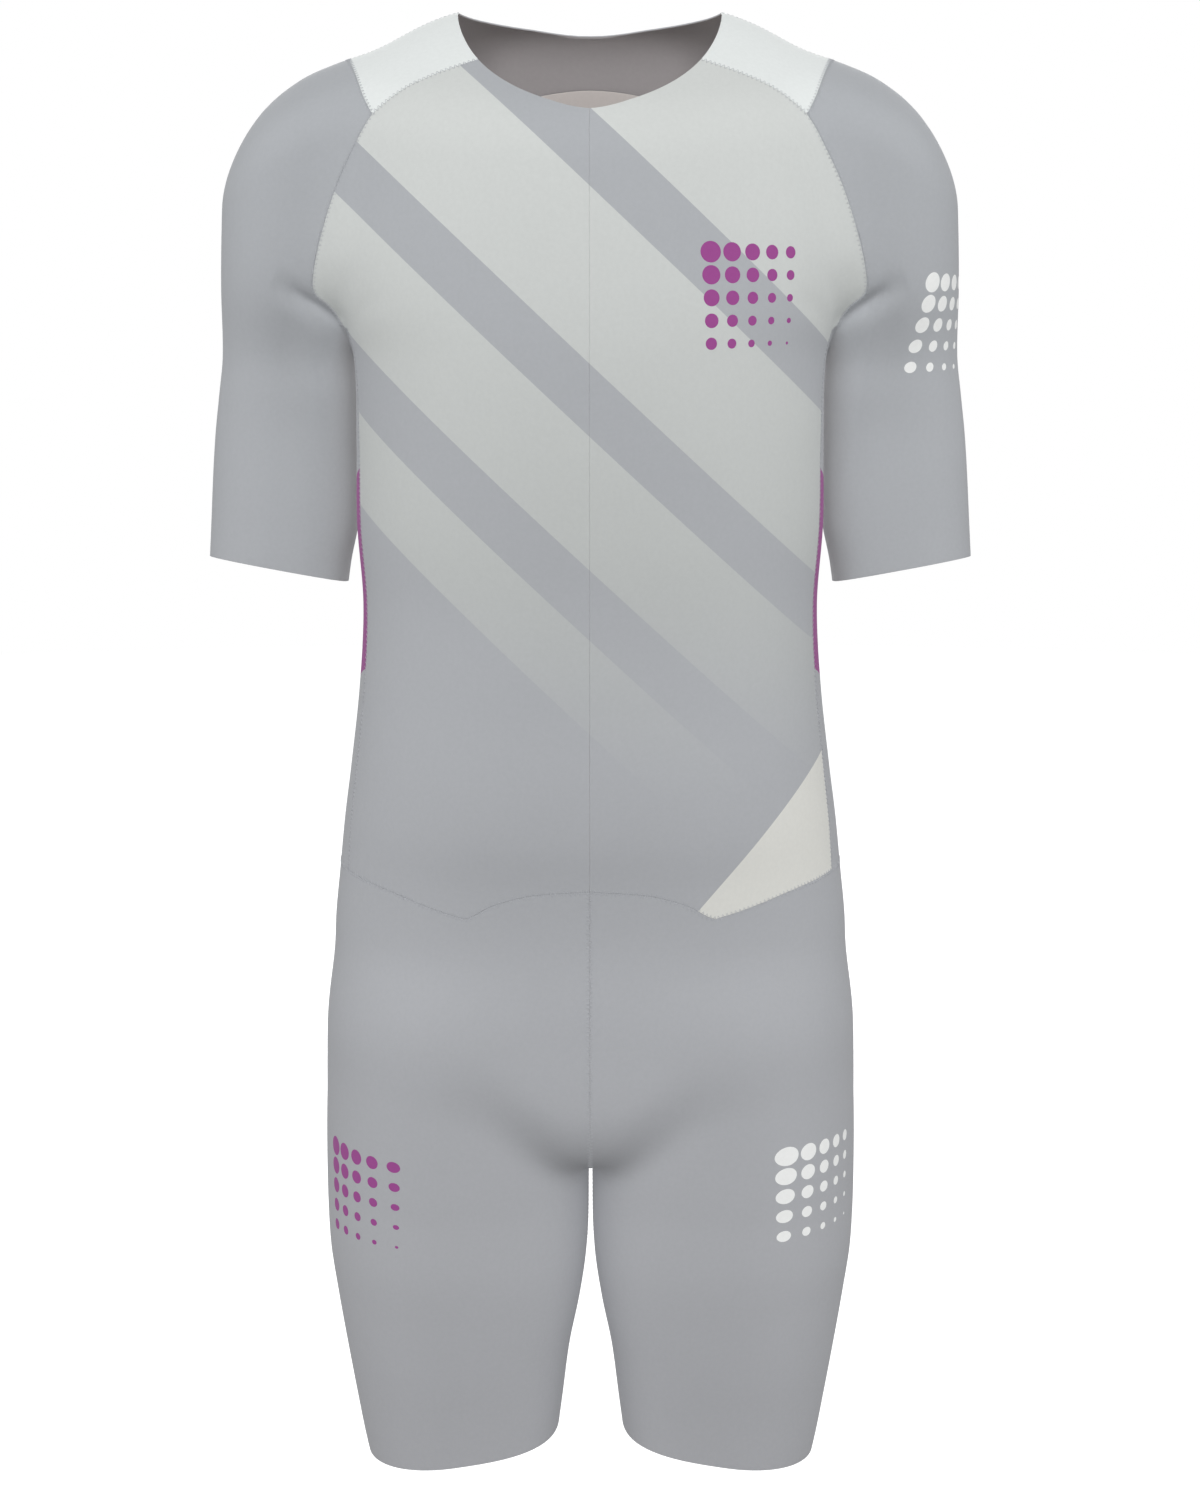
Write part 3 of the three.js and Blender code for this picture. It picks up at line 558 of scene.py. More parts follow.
# ---------------- creases
# Soft troughs in the worn cloth, on the left side: three places seen from the front or the back,
# half width and depth in millimetres, and how deep the same crease is on the right side.
CREASES = [
    # way, place 1, place 2, place 3, width, depth, right
    (-1, (186, -157), (167, -167), (148, -182), 9.0, 3.2, 1.0),
    (-1, (176, -162), (163, -170), (148, -181), 3.6, 2.8, 0.8),
    (-1, (146, -186), (134, -172), (118, -164), 8.0, 0.9, 0.8),
    (-1, (164, -218), (200, -226), (236, -222), 66.0, 5.5, 0.9),
    (1, (150, -160), (132, -170), (108, -174), 9.0, 1.4, 0.9),
    (1, (154, -176), (168, -186), (186, -188), 7.0, 1.2, 1.1),
    (1, (96, -418), (50, -426), (-20, -421), 12.0, 1.1, 0.7),
    (1, (70, -452), (20, -458), (-50, -450), 13.0, 1.0, 0.8),
    (1, (20, -664), (56, -688), (104, -690), 12.0, 2.4, 1.0),
]


@lru_cache(maxsize=None)
def crease_lines():
    """Each crease as a short bent line on the skin, for both sides of the body."""
    lines = []
    t = np.linspace(0, 1, 13)[:, None]
    for way, first, second, third, width, depth, right in CREASES:
        bend = lerp(lerp(np.array(first), np.array(second), t),
                    lerp(np.array(second), np.array(third), t), t)
        line = facing(bend[:, 0], bend[:, 1], way)
        lines.append((line, width, depth))
        lines.append((mirrored(line), width * lerp(1, right, 0.4), depth * right))
    return lines


# How far a crease is felt, in widths, how much its shoulders rise, and how blunt its ends are.
CREASE_REACH, CREASE_SHOULDERS, CREASE_ENDS = 4, 0.55, 0.7


def crease_depth(p):
    """How far the cloth is pushed in: along each line a trough with low shoulders, a bell curve
    less its own second wave, which fades towards the line's ends."""
    flat = p.reshape(-1, 3)
    push = np.zeros(len(flat))
    for line, width, depth in crease_lines():
        low, high = line.min(0) - CREASE_REACH * width, line.max(0) + CREASE_REACH * width
        near = np.flatnonzero(((flat > low) & (flat < high)).all(axis=1))
        if not len(near):
            continue
        start, chord = line[:-1], np.diff(line, axis=0)
        away = flat[near, None] - start
        t = np.clip((away * chord).sum(-1) / (chord**2).sum(-1), 0, 1)
        gap = np.linalg.norm(away - t[..., None] * chord, axis=-1)
        k = gap.argmin(axis=1)
        rows = np.arange(len(near))
        along = (k + t[rows, k]) / len(chord)
        q = (gap[rows, k] / width) ** 2
        ends = np.sin(np.pi * np.clip(along, 0, 1)) ** CREASE_ENDS
        bell = np.exp(-np.clip(q, 0, 40))
        push[near] += depth * ends * (1 - CREASE_SHOULDERS * q) * bell
    return push.reshape(p.shape[:-1])


# ---------------- cloth from a sheet
# The cut edge of a panel, from its outer face to its inner: how far in from the seam, and how deep.
EDGE_PROFILE = [(0.5, 0.0), (0.26, 0.02), (0.12, 0.08), (0.05, 0.2), (0.05, 0.8), (0.2, 1.02),
                (0.6, 1.1)]
SHARPEST_MITRE = 0.3


def inset_directions(line, normals):
    """Sideways along the skin into the panel, from each place of its closed edge; corners are
    mitred."""
    ahead = unit(np.cross(normals, np.roll(line, -1, axis=0) - line))
    behind = unit(np.cross(normals, line - np.roll(line, 1, axis=0)))
    sharp = np.maximum(SHARPEST_MITRE, 1 + (ahead * behind).sum(-1, keepdims=True))
    return (ahead + behind) / sharp


def quads_between(first, second):
    """Faces from one closed row of indices up to the next."""
    return np.stack([first, np.roll(first, -1), np.roll(second, -1), second], axis=-1)


def grid_faces(index):
    """Faces between the rows and columns of a grid of indices."""
    corners = [index[:-1, :-1], index[:-1, 1:], index[1:, 1:], index[1:, :-1]]
    return np.stack(corners, axis=-1).reshape(-1, 4)


def grid_rim(index):
    """Indices round the edge of a grid, the way its faces turn."""
    return np.concatenate([index[0], index[1:-1, -1], index[-1][::-1], index[1:-1, 0][::-1]])


def cloth_mesh(name, sheet, tube, finishes):
    """A closed wall of cloth: the sheet, the same sheet a wall's thickness inside, and rounded cut
    edges between them."""
    rows, columns = sheet.shape[:2]
    count = rows * columns
    index = np.arange(count).reshape(rows, columns)
    lengths = grid_lengths(sheet, tube)
    length_index = np.arange(lengths[..., 0].size).reshape(rows, -1)
    to_length = length_index[:, :columns].ravel()
    normals = unit(outward(sheet))
    skin = (sheet - normals * crease_depth(sheet)[..., None]).reshape(-1, 3)
    normals = normals.reshape(-1, 3)
    outer, inner = skin.copy(), skin - normals * EDGE_PROFILE[-1][1]
    vertices, next_vertex = [outer, inner], 2 * count
    face, length_face = grid_faces(carried_round(index, tube)), grid_faces(length_index)
    quads, length_quads = [face, face[:, ::-1] + count], [length_face, length_face[:, ::-1]]
    inside = [np.zeros(len(face), int), np.ones(len(face), int)]
    for loop in [index[0], index[-1][::-1]] if tube else [grid_rim(index)]:
        edge, up = skin[loop], normals[loop]
        side = inset_directions(edge, up)
        rings = [edge + side * inset - up * depth for inset, depth in EDGE_PROFILE]
        outer[loop], inner[loop] = rings[0], rings[-1]
        upper = loop
        for k, ring in enumerate(rings[1:], start=1):
            if k == len(rings) - 1:
                below = loop + count
            else:
                below = next_vertex + np.arange(len(loop))
                next_vertex += len(loop)
                vertices.append(ring)
            quads.append(quads_between(below, upper))
            length_quads.append(quads_between(to_length[loop], to_length[loop]))
            inside.append(np.full(len(loop), int(k >= len(rings) - 2)))
            upper = below
    quads, length_quads, inside = (np.concatenate(v) for v in (quads, length_quads, inside))
    cloth = lengths.reshape(-1, 2)[length_quads.ravel()]
    return new_piece(name, np.concatenate(vertices), quads, finishes, cloth, inside)


def new_piece(name, vertices, quads, finishes, cloth=None, finish_index=None):
    """A piece of four-sided faces from arrays of places in millimetres and of indices. Cloth also
    has each corner's place on the knit, and which finish each face has."""
    mesh = bpy.data.meshes.new(name)
    mesh.vertices.add(len(vertices))
    mesh.vertices.foreach_set("co", (vertices * MM).ravel().astype(np.float32))
    mesh.loops.add(quads.size)
    mesh.loops.foreach_set("vertex_index", quads.ravel().astype(np.int32))
    mesh.polygons.add(len(quads))
    mesh.polygons.foreach_set("loop_start", np.arange(0, quads.size, 4, dtype=np.int32))
    mesh.polygons.foreach_set("loop_total", np.full(len(quads), 4, np.int32))
    mesh.polygons.foreach_set("use_smooth", np.ones(len(quads), bool))
    mesh.update(calc_edges=True)
    if cloth is not None:
        layer = mesh.uv_layers.new(name="cloth")
        layer.data.foreach_set("uv", (cloth * MM).ravel().astype(np.float32))
    if finish_index is not None:
        mesh.polygons.foreach_set("material_index", finish_index.astype(np.int32))
    for finish in finishes:
        mesh.materials.append(finish)
    piece = bpy.data.objects.new(name, mesh)
    bpy.context.scene.collection.objects.link(piece)
    return piece


def sheet_size(sheet, tube):
    """Mean width and length of a sheet, and its area, in metres and square metres."""
    lengths = grid_lengths(sheet, tube)
    width, length = lengths[:, -1, 0].mean() * MM, lengths[-1, :, 1].mean() * MM
    rows = carried_round(sheet, tube)
    across = rows[:-1, 1:] - rows[1:, :-1]
    along = rows[1:, 1:] - rows[:-1, :-1]
    area = np.linalg.norm(np.cross(across, along), axis=-1).sum() / 2 * MM * MM
    return width, length, area


def add_cloth(node, sheet, slot, rests_on, outside, inside="knit_reverse", tube=False):
    """One panel: its cloth in place of its CAD node. It also works out the size the panel was cut
    to, which nothing uses.
    """
    piece = cloth_mesh(f"cloth_{node}", sheet, tube, (material(outside), material(inside)))
    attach(piece, "root")
    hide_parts(node)
    width, length, area = sheet_size(sheet, tube)
    sizes = bpy.context.scene.skinsuit_sizes
    width, length = width * sizes.cut_width_share, length * sizes.cut_length_share
    area = area * sizes.cut_width_share * sizes.cut_length_share
    scale = math.sqrt(max(1, area / (width * length)))
    flat = [math.ceil(v * scale * 1000) / 1000 for v in (width, length)]
    area = min(area, flat[0] * flat[1])
    return piece


# ---------------- shader building blocks
def linear(red, green, blue):
    """A colour written as 0 to 255 screen values, as the linear values that shaders take."""
    share = [v / 255 for v in (red, green, blue)]
    return tuple(v / 12.92 if v <= 0.04045 else ((v + 0.055) / 1.055) ** 2.4 for v in share)


def add_node(tree, kind, inputs=None, **settings):
    """Adds a node, with its settings, and each input either linked or set to a value."""
    made = tree.nodes.new(kind)
    for key, value in settings.items():
        setattr(made, key, value)
    for key, value in (inputs or {}).items():
        if isinstance(value, bpy.types.NodeSocket):
            tree.links.new(value, made.inputs[key])
        else:
            made.inputs[key].default_value = value
    return made


def maths(tree, operation, *values):
    return add_node(tree, "ShaderNodeMath", dict(enumerate(values)), operation=operation).outputs[0]


def spread_to(tree, value, low, high, to_low, to_high, kind="LINEAR"):
    """Maps a value's range to another, held at both ends."""
    inputs = {
        "Value": value, "From Min": low, "From Max": high, "To Min": to_low, "To Max": to_high,
    }
    return add_node(tree, "ShaderNodeMapRange", inputs, interpolation_type=kind).outputs["Result"]


def mix_colours(tree, share, first, second, blend="MIX"):
    """Mixes two colours by a share, or multiplies the first by the second."""
    mix = tree.nodes.new("ShaderNodeMix")
    mix.data_type, mix.blend_type = "RGBA", blend
    for socket, value in ((mix.inputs[0], share), (mix.inputs[6], first), (mix.inputs[7], second)):
        if isinstance(value, bpy.types.NodeSocket):
            tree.links.new(value, socket)
        elif isinstance(value, (int, float)):
            socket.default_value = value
        else:
            socket.default_value = (*value[:3], 1.0)
    return mix.outputs[2]


def fill_knit(tree, given):
    """Plain knit: columns of loops whose legs lean into a V, lit as rounded yarn, with painted
    shade that darkens the colour in the grooves.
    """
    place = add_node(tree, "ShaderNodeSeparateXYZ", {0: given["Cloth"]}).outputs
    across = maths(tree, "DIVIDE", place["X"], given["Wale"])
    up = maths(tree, "DIVIDE", place["Y"], given["Course"])
    from_middle = maths(tree, "PINGPONG", across, 0.5)
    lean = maths(tree, "ADD", up, from_middle)
    leg = maths(tree, "SINE", maths(tree, "MULTIPLY", lean, 2 * math.pi))
    leg = maths(tree, "MULTIPLY_ADD", leg, 0.5, 0.5)
    groove = maths(tree, "SINE", maths(tree, "MULTIPLY", from_middle, 2 * math.pi))
    height = maths(tree, "MULTIPLY_ADD", leg, 0.55, maths(tree, "MULTIPLY", groove, 0.45))
    # Painted shade: the colour is darkened where the knit is low, in the grooves between loops.
    shade = maths(tree, "MULTIPLY_ADD", height, 0.05, 0.975)
    return {"Height": height, "Shade": shade}


def fill_hand(tree, given):
    """The cloth's hand: broad soft unevenness of stretch, and a finer mottle of the yarn."""
    given_to_all = {"Vector": given["Place"], "Detail": 2.0}
    broad, fine = (
        add_node(tree, "ShaderNodeTexNoise", {**given_to_all, "Scale": scale})
        for scale in (9.0, 420.0)
    )
    tone = spread_to(tree, broad.outputs[0], 0.3, 0.7, 0.988, 1.012)
    mottle = spread_to(tree, fine.outputs[0], 0.3, 0.7, 0.985, 1.015)
    return {
        "Tone": maths(tree, "MULTIPLY", tone, mottle),
        "Height": fine.outputs[0],
        "Unevenness": broad.outputs[0],
    }


def fill_dots(tree, given):
    """Five by five round dots, each a little smaller than its neighbour down and across."""
    cells = []
    for name in ("Across", "Up"):
        share = maths(tree, "DIVIDE", given[name], given["Pitch"])
        number = maths(tree, "ROUND", share)
        cells.append((maths(tree, "SUBTRACT", share, number), number))
    (across, column_number), (up, row_number) = cells
    away = maths(tree, "SQRT", maths(tree, "ADD", maths(tree, "MULTIPLY", across, across),
                                     maths(tree, "MULTIPLY", up, up)))
    steps = maths(tree, "SUBTRACT", row_number, column_number)
    radius = maths(tree, "MULTIPLY_ADD", steps, 0.05, 0.27)
    mask = maths(tree, "LESS_THAN", away, radius)
    for number in (column_number, row_number):
        mask = maths(tree, "MULTIPLY", mask, maths(tree, "COMPARE", number, 0.0, 2.5))
    return {"Mask": mask}


# Effects that several finishes share: what fills the node group, its inputs with their usual
# values, where none is a place, and its outputs.
EFFECTS = {
    "Fine knit": (fill_knit, {"Cloth": None, "Wale": 0.0009, "Course": 0.0007},
                  ["Height", "Shade"]),
    "Cloth hand": (fill_hand, {"Place": None}, ["Tone", "Height", "Unevenness"]),
    "Dot patch": (fill_dots, {"Across": 0.0, "Up": 0.0, "Pitch": 0.0125}, ["Mask"]),
}


def effect(tree, name, inputs):
    """Places a shared node group, built the first time it is asked for, with its own values."""
    group = bpy.data.node_groups.get(name)
    if group is None:
        fill, takes, gives = EFFECTS[name]
        group = bpy.data.node_groups.new(name, "ShaderNodeTree")
        for socket, value in takes.items():
            kind = "NodeSocketVector" if value is None else "NodeSocketFloat"
            made = group.interface.new_socket(socket, in_out="INPUT", socket_type=kind)
            if value is not None:
                made.default_value = value
        for socket in gives:
            group.interface.new_socket(socket, in_out="OUTPUT", socket_type="NodeSocketFloat")
        given = group.nodes.new("NodeGroupInput").outputs
        leaving = group.nodes.new("NodeGroupOutput").inputs
        for key, value in fill(group, given).items():
            group.links.new(value, leaving[key])
    return add_node(tree, "ShaderNodeGroup", inputs, node_tree=group).outputs


# ---------------- finishes
# Straight sashes across the chest: how far the middle lies along them, and half the width.
SASH_ANGLE = math.radians(47)
SASHES = [(0.008, 0.052), (-0.112, 0.036), (-0.206, 0.028), (-0.284, 0.02)]
# Heights between which the sashes fade in, turn to their upper colour, and the body to its own; the
# body's change is painted shade, darker towards the leg hems as if less light reached them.
SASH_FADE, SASH_SHADE, BODY_PAINTED_SHADE = (-0.47, -0.30), (-0.36, -0.06), (-0.9, -0.05)
# Two places on the upper edge of the light corner at the hip, across and up.
HIP_PATCH = ((0.062, -0.527), (0.152, -0.424))
# Patches of dots: the way they face, from the front towards the wearer's left, the middle across
# and up, the spacing, and how far out the patch begins.
CHEST_DOTS = {"turn": 22, "across": 0.052, "up": -0.166, "pitch": 0.0128, "out": 0.05}
SLEEVE_DOTS = {"turn": 45, "across": 0.147, "up": -0.182, "pitch": 0.0125, "out": 0.125}
LEFT_THIGH_DOTS = {"turn": 72, "across": -0.012, "up": -0.705, "pitch": 0.0128, "out": 0.11}
RIGHT_THIGH_DOTS = {"turn": -72, "across": 0.012, "up": -0.712, "pitch": 0.0128, "out": 0.11}
# Top and bottom of the side block, and how much its ends rise towards the front.
SIDE_BLOCK, SIDE_BLOCK_SLANT = (-0.277, -0.398), 0.35


def weighed(tree, place, shares):
    """The sum of a place's coordinates, each times its share."""
    total = 0.0
    for axis, share in shares.items():
        total = maths(tree, "MULTIPLY_ADD", place[axis], share, total)
    return total


def dots(tree, place, spot):
    """Mask of a patch of dots printed on the side of the cloth that faces the given way."""
    turn = math.radians(spot["turn"])
    across = weighed(tree, place, {"X": math.cos(turn), "Y": math.sin(turn)})
    out = weighed(tree, place, {"X": math.sin(turn), "Y": -math.cos(turn)})
    mask = effect(tree, "Dot patch", {
        "Across": maths(tree, "SUBTRACT", across, spot["across"]),
        "Up": maths(tree, "SUBTRACT", place["Z"], spot["up"]),
        "Pitch": spot["pitch"],
    })["Mask"]
    return maths(tree, "MULTIPLY", mask, maths(tree, "GREATER_THAN", out, spot["out"]))


def plain(colour_name):
    def colour(tree, place):
        return getattr(bpy.context.scene.skinsuit_colours, colour_name)
    return colour


def body_colour(tree, place):
    """Cool grey, a little lighter at the shoulders than at the leg hems: painted shade, as if less
    light reached the lower suit.
    """
    colours = bpy.context.scene.skinsuit_colours
    # Painted shade: the grey darkens from the shoulders down to the leg hems.
    share = spread_to(tree, place["Z"], *BODY_PAINTED_SHADE, 0.0, 1.0)
    return mix_colours(tree, share, colours.body_low, colours.body_high)


def front_colour(tree, place):
    """Grey with straight off-white sashes that fade towards the waist, a light corner at the hip
    and a patch of dots on the chest."""
    colours = bpy.context.scene.skinsuit_colours
    base = body_colour(tree, place)
    along = weighed(tree, place, {"X": math.cos(SASH_ANGLE), "Z": math.sin(SASH_ANGLE)})
    sash = 0.0
    for middle, half in SASHES:
        sash = maths(tree, "MAXIMUM", sash, maths(tree, "COMPARE", along, middle, half))
    fade = spread_to(tree, place["Z"], *SASH_FADE, 0.0, 1.0, "SMOOTHSTEP")
    upper = spread_to(tree, place["Z"], *SASH_SHADE, 0.0, 1.0)
    light = mix_colours(tree, upper, colours.sash_low, colours.sash_high)
    colour = mix_colours(tree, maths(tree, "MULTIPLY", sash, fade), base, light)
    (x1, z1), (x2, z2) = HIP_PATCH
    line = weighed(tree, place, {"X": z2 - z1, "Z": x1 - x2})
    beyond = maths(tree, "GREATER_THAN", line, x1 * (z2 - z1) - z1 * (x2 - x1))
    colour = mix_colours(tree, beyond, colour, colours.hip_patch)
    return mix_colours(tree, dots(tree, place, CHEST_DOTS), colour, colours.purple)


def side_colour(tree, place):
    """Grey with a purple block whose ends slant."""
    colours = bpy.context.scene.skinsuit_colours
    slant = weighed(tree, place, {"Y": SIDE_BLOCK_SLANT, "Z": 1.0})
    middle, half = (SIDE_BLOCK[0] + SIDE_BLOCK[1]) / 2, (SIDE_BLOCK[0] - SIDE_BLOCK[1]) / 2
    block = maths(tree, "COMPARE", slant, middle, half)
    return mix_colours(tree, block, body_colour(tree, place), colours.purple)


def sleeve_colour(tree, place):
    """Grey, with a patch of white dots on the left sleeve."""
    white = bpy.context.scene.skinsuit_colours.white
    return mix_colours(tree, dots(tree, place, SLEEVE_DOTS), body_colour(tree, place), white)


def leg_colour(tree, place):
    """Grey, with a patch of dots on each outer thigh, purple on the right and white on the left."""
    colours = bpy.context.scene.skinsuit_colours
    base = body_colour(tree, place)
    base = mix_colours(tree, dots(tree, place, LEFT_THIGH_DOTS), base, colours.white)
    return mix_colours(tree, dots(tree, place, RIGHT_THIGH_DOTS), base, colours.purple)


# Cloth finishes: colour, roughness, sheen, and height of the knit and of the hand in metres.
BODY_KNIT, REVERSE_KNIT = (0.78, 0.12, 0.00004, 0.00003), (0.88, 0.2, 0.00007, 0.00004)
CLOTH_FINISHES = {
    "knit_body": (body_colour, *BODY_KNIT),
    "knit_front": (front_colour, *BODY_KNIT),
    "knit_side": (side_colour, *BODY_KNIT),
    "knit_sleeve": (sleeve_colour, *BODY_KNIT),
    "knit_leg": (leg_colour, *BODY_KNIT),
    "knit_shoulder": (plain("shoulder"), 0.8, 0.12, 0.00005, 0.00003),
    "knit_reverse": (plain("reverse"), *REVERSE_KNIT),
    "knit_reverse_yoke": (plain("reverse_yoke"), *REVERSE_KNIT),
    "zip_tape": (plain("zip_tape"), 0.75, 0.1, 0.00008, 0.00002),
}


def new_finish(name):
    """A new material, its shader, and the place on the piece that its effects follow."""
    made = bpy.data.materials.new(name)
    made.use_nodes = True
    tree = made.node_tree
    spot = tree.nodes.new("ShaderNodeTexCoord").outputs["Object"]
    return made, tree, tree.nodes["Principled BSDF"], spot


def set_colour(tree, shader, colour, tone, unevenness, roughness, swing):
    """Colour darkened and lightened by the tone, which on cloth also carries the knit's painted
    shade in its grooves, and a roughness that swings with the unevenness."""
    grey = add_node(tree, "ShaderNodeCombineXYZ", {0: tone, 1: tone, 2: tone}).outputs[0]
    tree.links.new(mix_colours(tree, 1.0, colour, grey, "MULTIPLY"), shader.inputs["Base Color"])
    rough = spread_to(tree, unevenness, 0.3, 0.7, roughness - swing, roughness + swing)
    tree.links.new(rough, shader.inputs["Roughness"])


def material(name):
    """The named cloth finish, made the first time it is asked for."""
    if name in bpy.data.materials:
        return bpy.data.materials[name]
    colour_of, roughness, sheen, knit_height, hand_height = CLOTH_FINISHES[name]
    sizes = bpy.context.scene.skinsuit_sizes
    made, tree, shader, spot = new_finish(name)
    shader.inputs["Sheen Weight"].default_value = sheen
    shader.inputs["Sheen Roughness"].default_value = 0.45
    shader.inputs["Specular IOR Level"].default_value = 0.25
    shader.inputs["IOR"].default_value = 1.45
    place = add_node(tree, "ShaderNodeSeparateXYZ", {0: spot}).outputs
    cloth = add_node(tree, "ShaderNodeUVMap", uv_map="cloth").outputs[0]
    knit = effect(tree, "Fine knit", {
        "Cloth": cloth, "Wale": sizes.wale, "Course": sizes.course,
    })
    hand = effect(tree, "Cloth hand", {"Place": spot})
    # The knit's painted shade in its grooves, times the cloth's uneven tone.
    tone = maths(tree, "MULTIPLY", knit["Shade"], hand["Tone"])
    set_colour(tree, shader, colour_of(tree, place), tone, hand["Unevenness"], roughness, 0.04)
    height = maths(tree, "MULTIPLY", knit["Height"], knit_height)
    height = maths(tree, "MULTIPLY_ADD", hand["Height"], hand_height, height)
    bump = add_node(tree, "ShaderNodeBump", {"Height": height, "Strength": 0.6, "Distance": 1.0})
    tree.links.new(bump.outputs[0], shader.inputs["Normal"])
    return made


def hard_material(name, colour, roughness):
    """Thread or moulded plastic: a fine mottle of colour and roughness."""
    if name in bpy.data.materials:
        return bpy.data.materials[name]
    made, tree, shader, spot = new_finish(name)
    hand = effect(tree, "Cloth hand", {"Place": spot})
    set_colour(tree, shader, colour, hand["Tone"], hand["Height"], roughness, 0.06)
    return made


# ---------------- threads and teeth
def tube_along(path, side, up, radius):
    """A thin tube of four faces: a small ring of corners at every place of the path."""
    angle = np.arange(4) * 2 * math.pi / 4
    ring = side[:, None] * np.cos(angle)[None, :, None] + up[:, None] * np.sin(angle)[None, :, None]
    vertices = path[:, None] + ring * radius
    index = np.arange(vertices.shape[0] * 4).reshape(-1, 4)
    turn = np.roll(index, -1, axis=1)
    quads = np.stack([index[:-1], turn[:-1], turn[1:], index[1:]], axis=-1).reshape(-1, 4)
    caps = np.stack([index[0][::-1], index[-1]])
    return vertices.reshape(-1, 3), np.concatenate([quads, caps])


# Flatlock thread: height over the join, how far it dips at the ends, and places along a crossing.
THREAD_LIFT, THREAD_DIP, THREAD_STEPS = 0.16, 0.2, 4


def flatlock(line, pitch, half_width, radius):
    """Flatlock stitching along a seam: one thread that crosses the join from side to side, a
    triangle wave, rising over the join and sinking into the cloth at each end."""
    along = arc_length(line)
    crossings = max(2, int(along[-1] / (pitch / 2)))
    at = np.linspace(0, along[-1], crossings * THREAD_STEPS + 1)
    base = np.stack([np.interp(at, along, line[:, k]) for k in range(3)], axis=-1)
    up = unit(outward(base))
    base = base - up * crease_depth(base)[..., None]
    ahead = unit(np.gradient(base, axis=0))
    side = unit(np.cross(up, ahead))
    phase = np.arange(len(at)) / THREAD_STEPS
    wave = 2 * np.abs(phase % 2 - 1) - 1
    lift = THREAD_LIFT - THREAD_DIP * np.abs(wave) ** 4
    path = base + side * (wave * half_width)[:, None] + up * lift[:, None]
    way = unit(np.gradient(path, axis=0))
    across = unit(np.cross(up, way))
    return tube_along(path, across, np.cross(way, across), radius)


def joined(parts):
    """Several arrays of places and faces as one."""
    vertices, quads, count = [], [], 0
    for places, faces in parts:
        vertices.append(places)
        quads.append(faces + count)
        count += len(places)
    return np.concatenate(vertices), np.concatenate(quads)


def add_hard_piece(name, parts, finish):
    piece = new_piece(name, *joined(parts), [finish])
    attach(piece, "root")
    return piece


# ---------------- the add-on
def colour_property(name, description, *screen):
    return bpy.props.FloatVectorProperty(
        name=name, description=description, subtype="COLOR", size=3, min=0, max=1,
        default=linear(*screen),
    )


def length_property(name, description, metres):
    return bpy.props.FloatProperty(
        name=name, description=description, default=metres, min=0, subtype="DISTANCE",
        unit="LENGTH", precision=5,
    )


def power_property(name, description, watts):
    return bpy.props.FloatProperty(
        name=name, description=description, default=watts, min=0, unit="POWER"
    )


def share_property(name, description, share):
    return bpy.props.FloatProperty(
        name=name, description=description, default=share, min=0, max=2, subtype="FACTOR"
    )


class SkinsuitSizes(bpy.types.PropertyGroup):
    """Sizes of the cloth, its stitching and its zip."""

    wale: length_property("Wale", "Width of one column of knitted loops", 0.0009)
    course: length_property("Course", "Height of one row of knitted loops", 0.0007)
    cut_width_share: share_property(
        "Cut width", "Width of a panel as cut, as a share of its worn width", 0.92
    )
    cut_length_share: share_property(
        "Cut length", "Length of a panel as cut, as a share of its worn length", 0.97
    )
    stitch_pitch: length_property("Stitch pitch", "Length of one pair of stitches", 0.0028)
    stitch_half_width: length_property(
        "Stitch reach", "How far a stitch reaches on each side of its seam", 0.0018
    )
    thread_radius: length_property("Thread radius", "Radius of the sewing thread", 0.00015)
    tape_width: length_property("Tape width", "Width of the zip tape", 0.013)
    tooth_pitch: length_property("Tooth pitch", "Spacing of the zip's coil turns", 0.0015)
    tooth_radius: length_property("Tooth radius", "Radius of the zip's coil", 0.00032)


class SkinsuitColours(bpy.types.PropertyGroup):
    """Colours of the cloth, its print, its thread and its zip."""

    # The two body greys paint shade: the lower one is darker, as if less light reached the leg
    # hems.
    body_high: colour_property("Body, upper", "Grey of the body at the shoulders", 171, 174, 178)
    body_low: colour_property("Body, lower", "Grey of the body at the leg hems", 170, 171, 175)
    shoulder: colour_property("Shoulder", "Off-white of the shoulder panels", 226, 230, 229)
    sash_high: colour_property("Sash, upper", "Off-white of the sashes at the chest", 205, 208, 206)
    sash_low: colour_property("Sash, lower", "Light grey of the sashes lower down", 184, 187, 186)
    hip_patch: colour_property("Hip corner", "Warm light corner at the left hip", 215, 215, 210)
    purple: colour_property("Purple", "Side blocks and purple dots", 152, 72, 140)
    white: colour_property("White", "White dots", 238, 239, 238)
    reverse: colour_property("Reverse", "Inner face of the knit", 198, 192, 189)
    reverse_yoke: colour_property("Reverse, yoke", "Inner face of the back yoke", 159, 155, 156)
    zip_tape: colour_property("Zip tape", "Woven tape of the zip", 160, 162, 166)
    zip_coil: colour_property("Zip coil", "Moulded coil of the zip", 140, 142, 146)
    thread: colour_property("Thread", "Sewing thread", 178, 180, 184)


class SkinsuitStage(bpy.types.PropertyGroup):
    """Light and camera round the suit."""

    surround: bpy.props.FloatProperty(
        name="Surround", description="Strength of the even light from all round", default=0.38
    )
    front: power_property("Front", "Power of the soft lights in front and behind", 125)
    sides: power_property("Sides", "Power of the soft lights at the sides", 62)
    floor_drop: length_property("Floor drop", "Height of the origin above the floor", 1.45)


def across(line):
    """A line of the left side carried on over the middle to the right side."""
    return join(line, mirrored(line[::-1]))


def both_sides(name, sheet, slot, rests_on, outside, **more):
    """The wearer's left panel, and the same panel mirrored on the right."""
    for side, panel in (("left", sheet), ("right", mirrored(sheet[:, ::-1]))):
        on = [node.format(side=side) for node in rests_on]
        add_cloth(f"{name}_{side}", panel, slot, on, outside, **more)


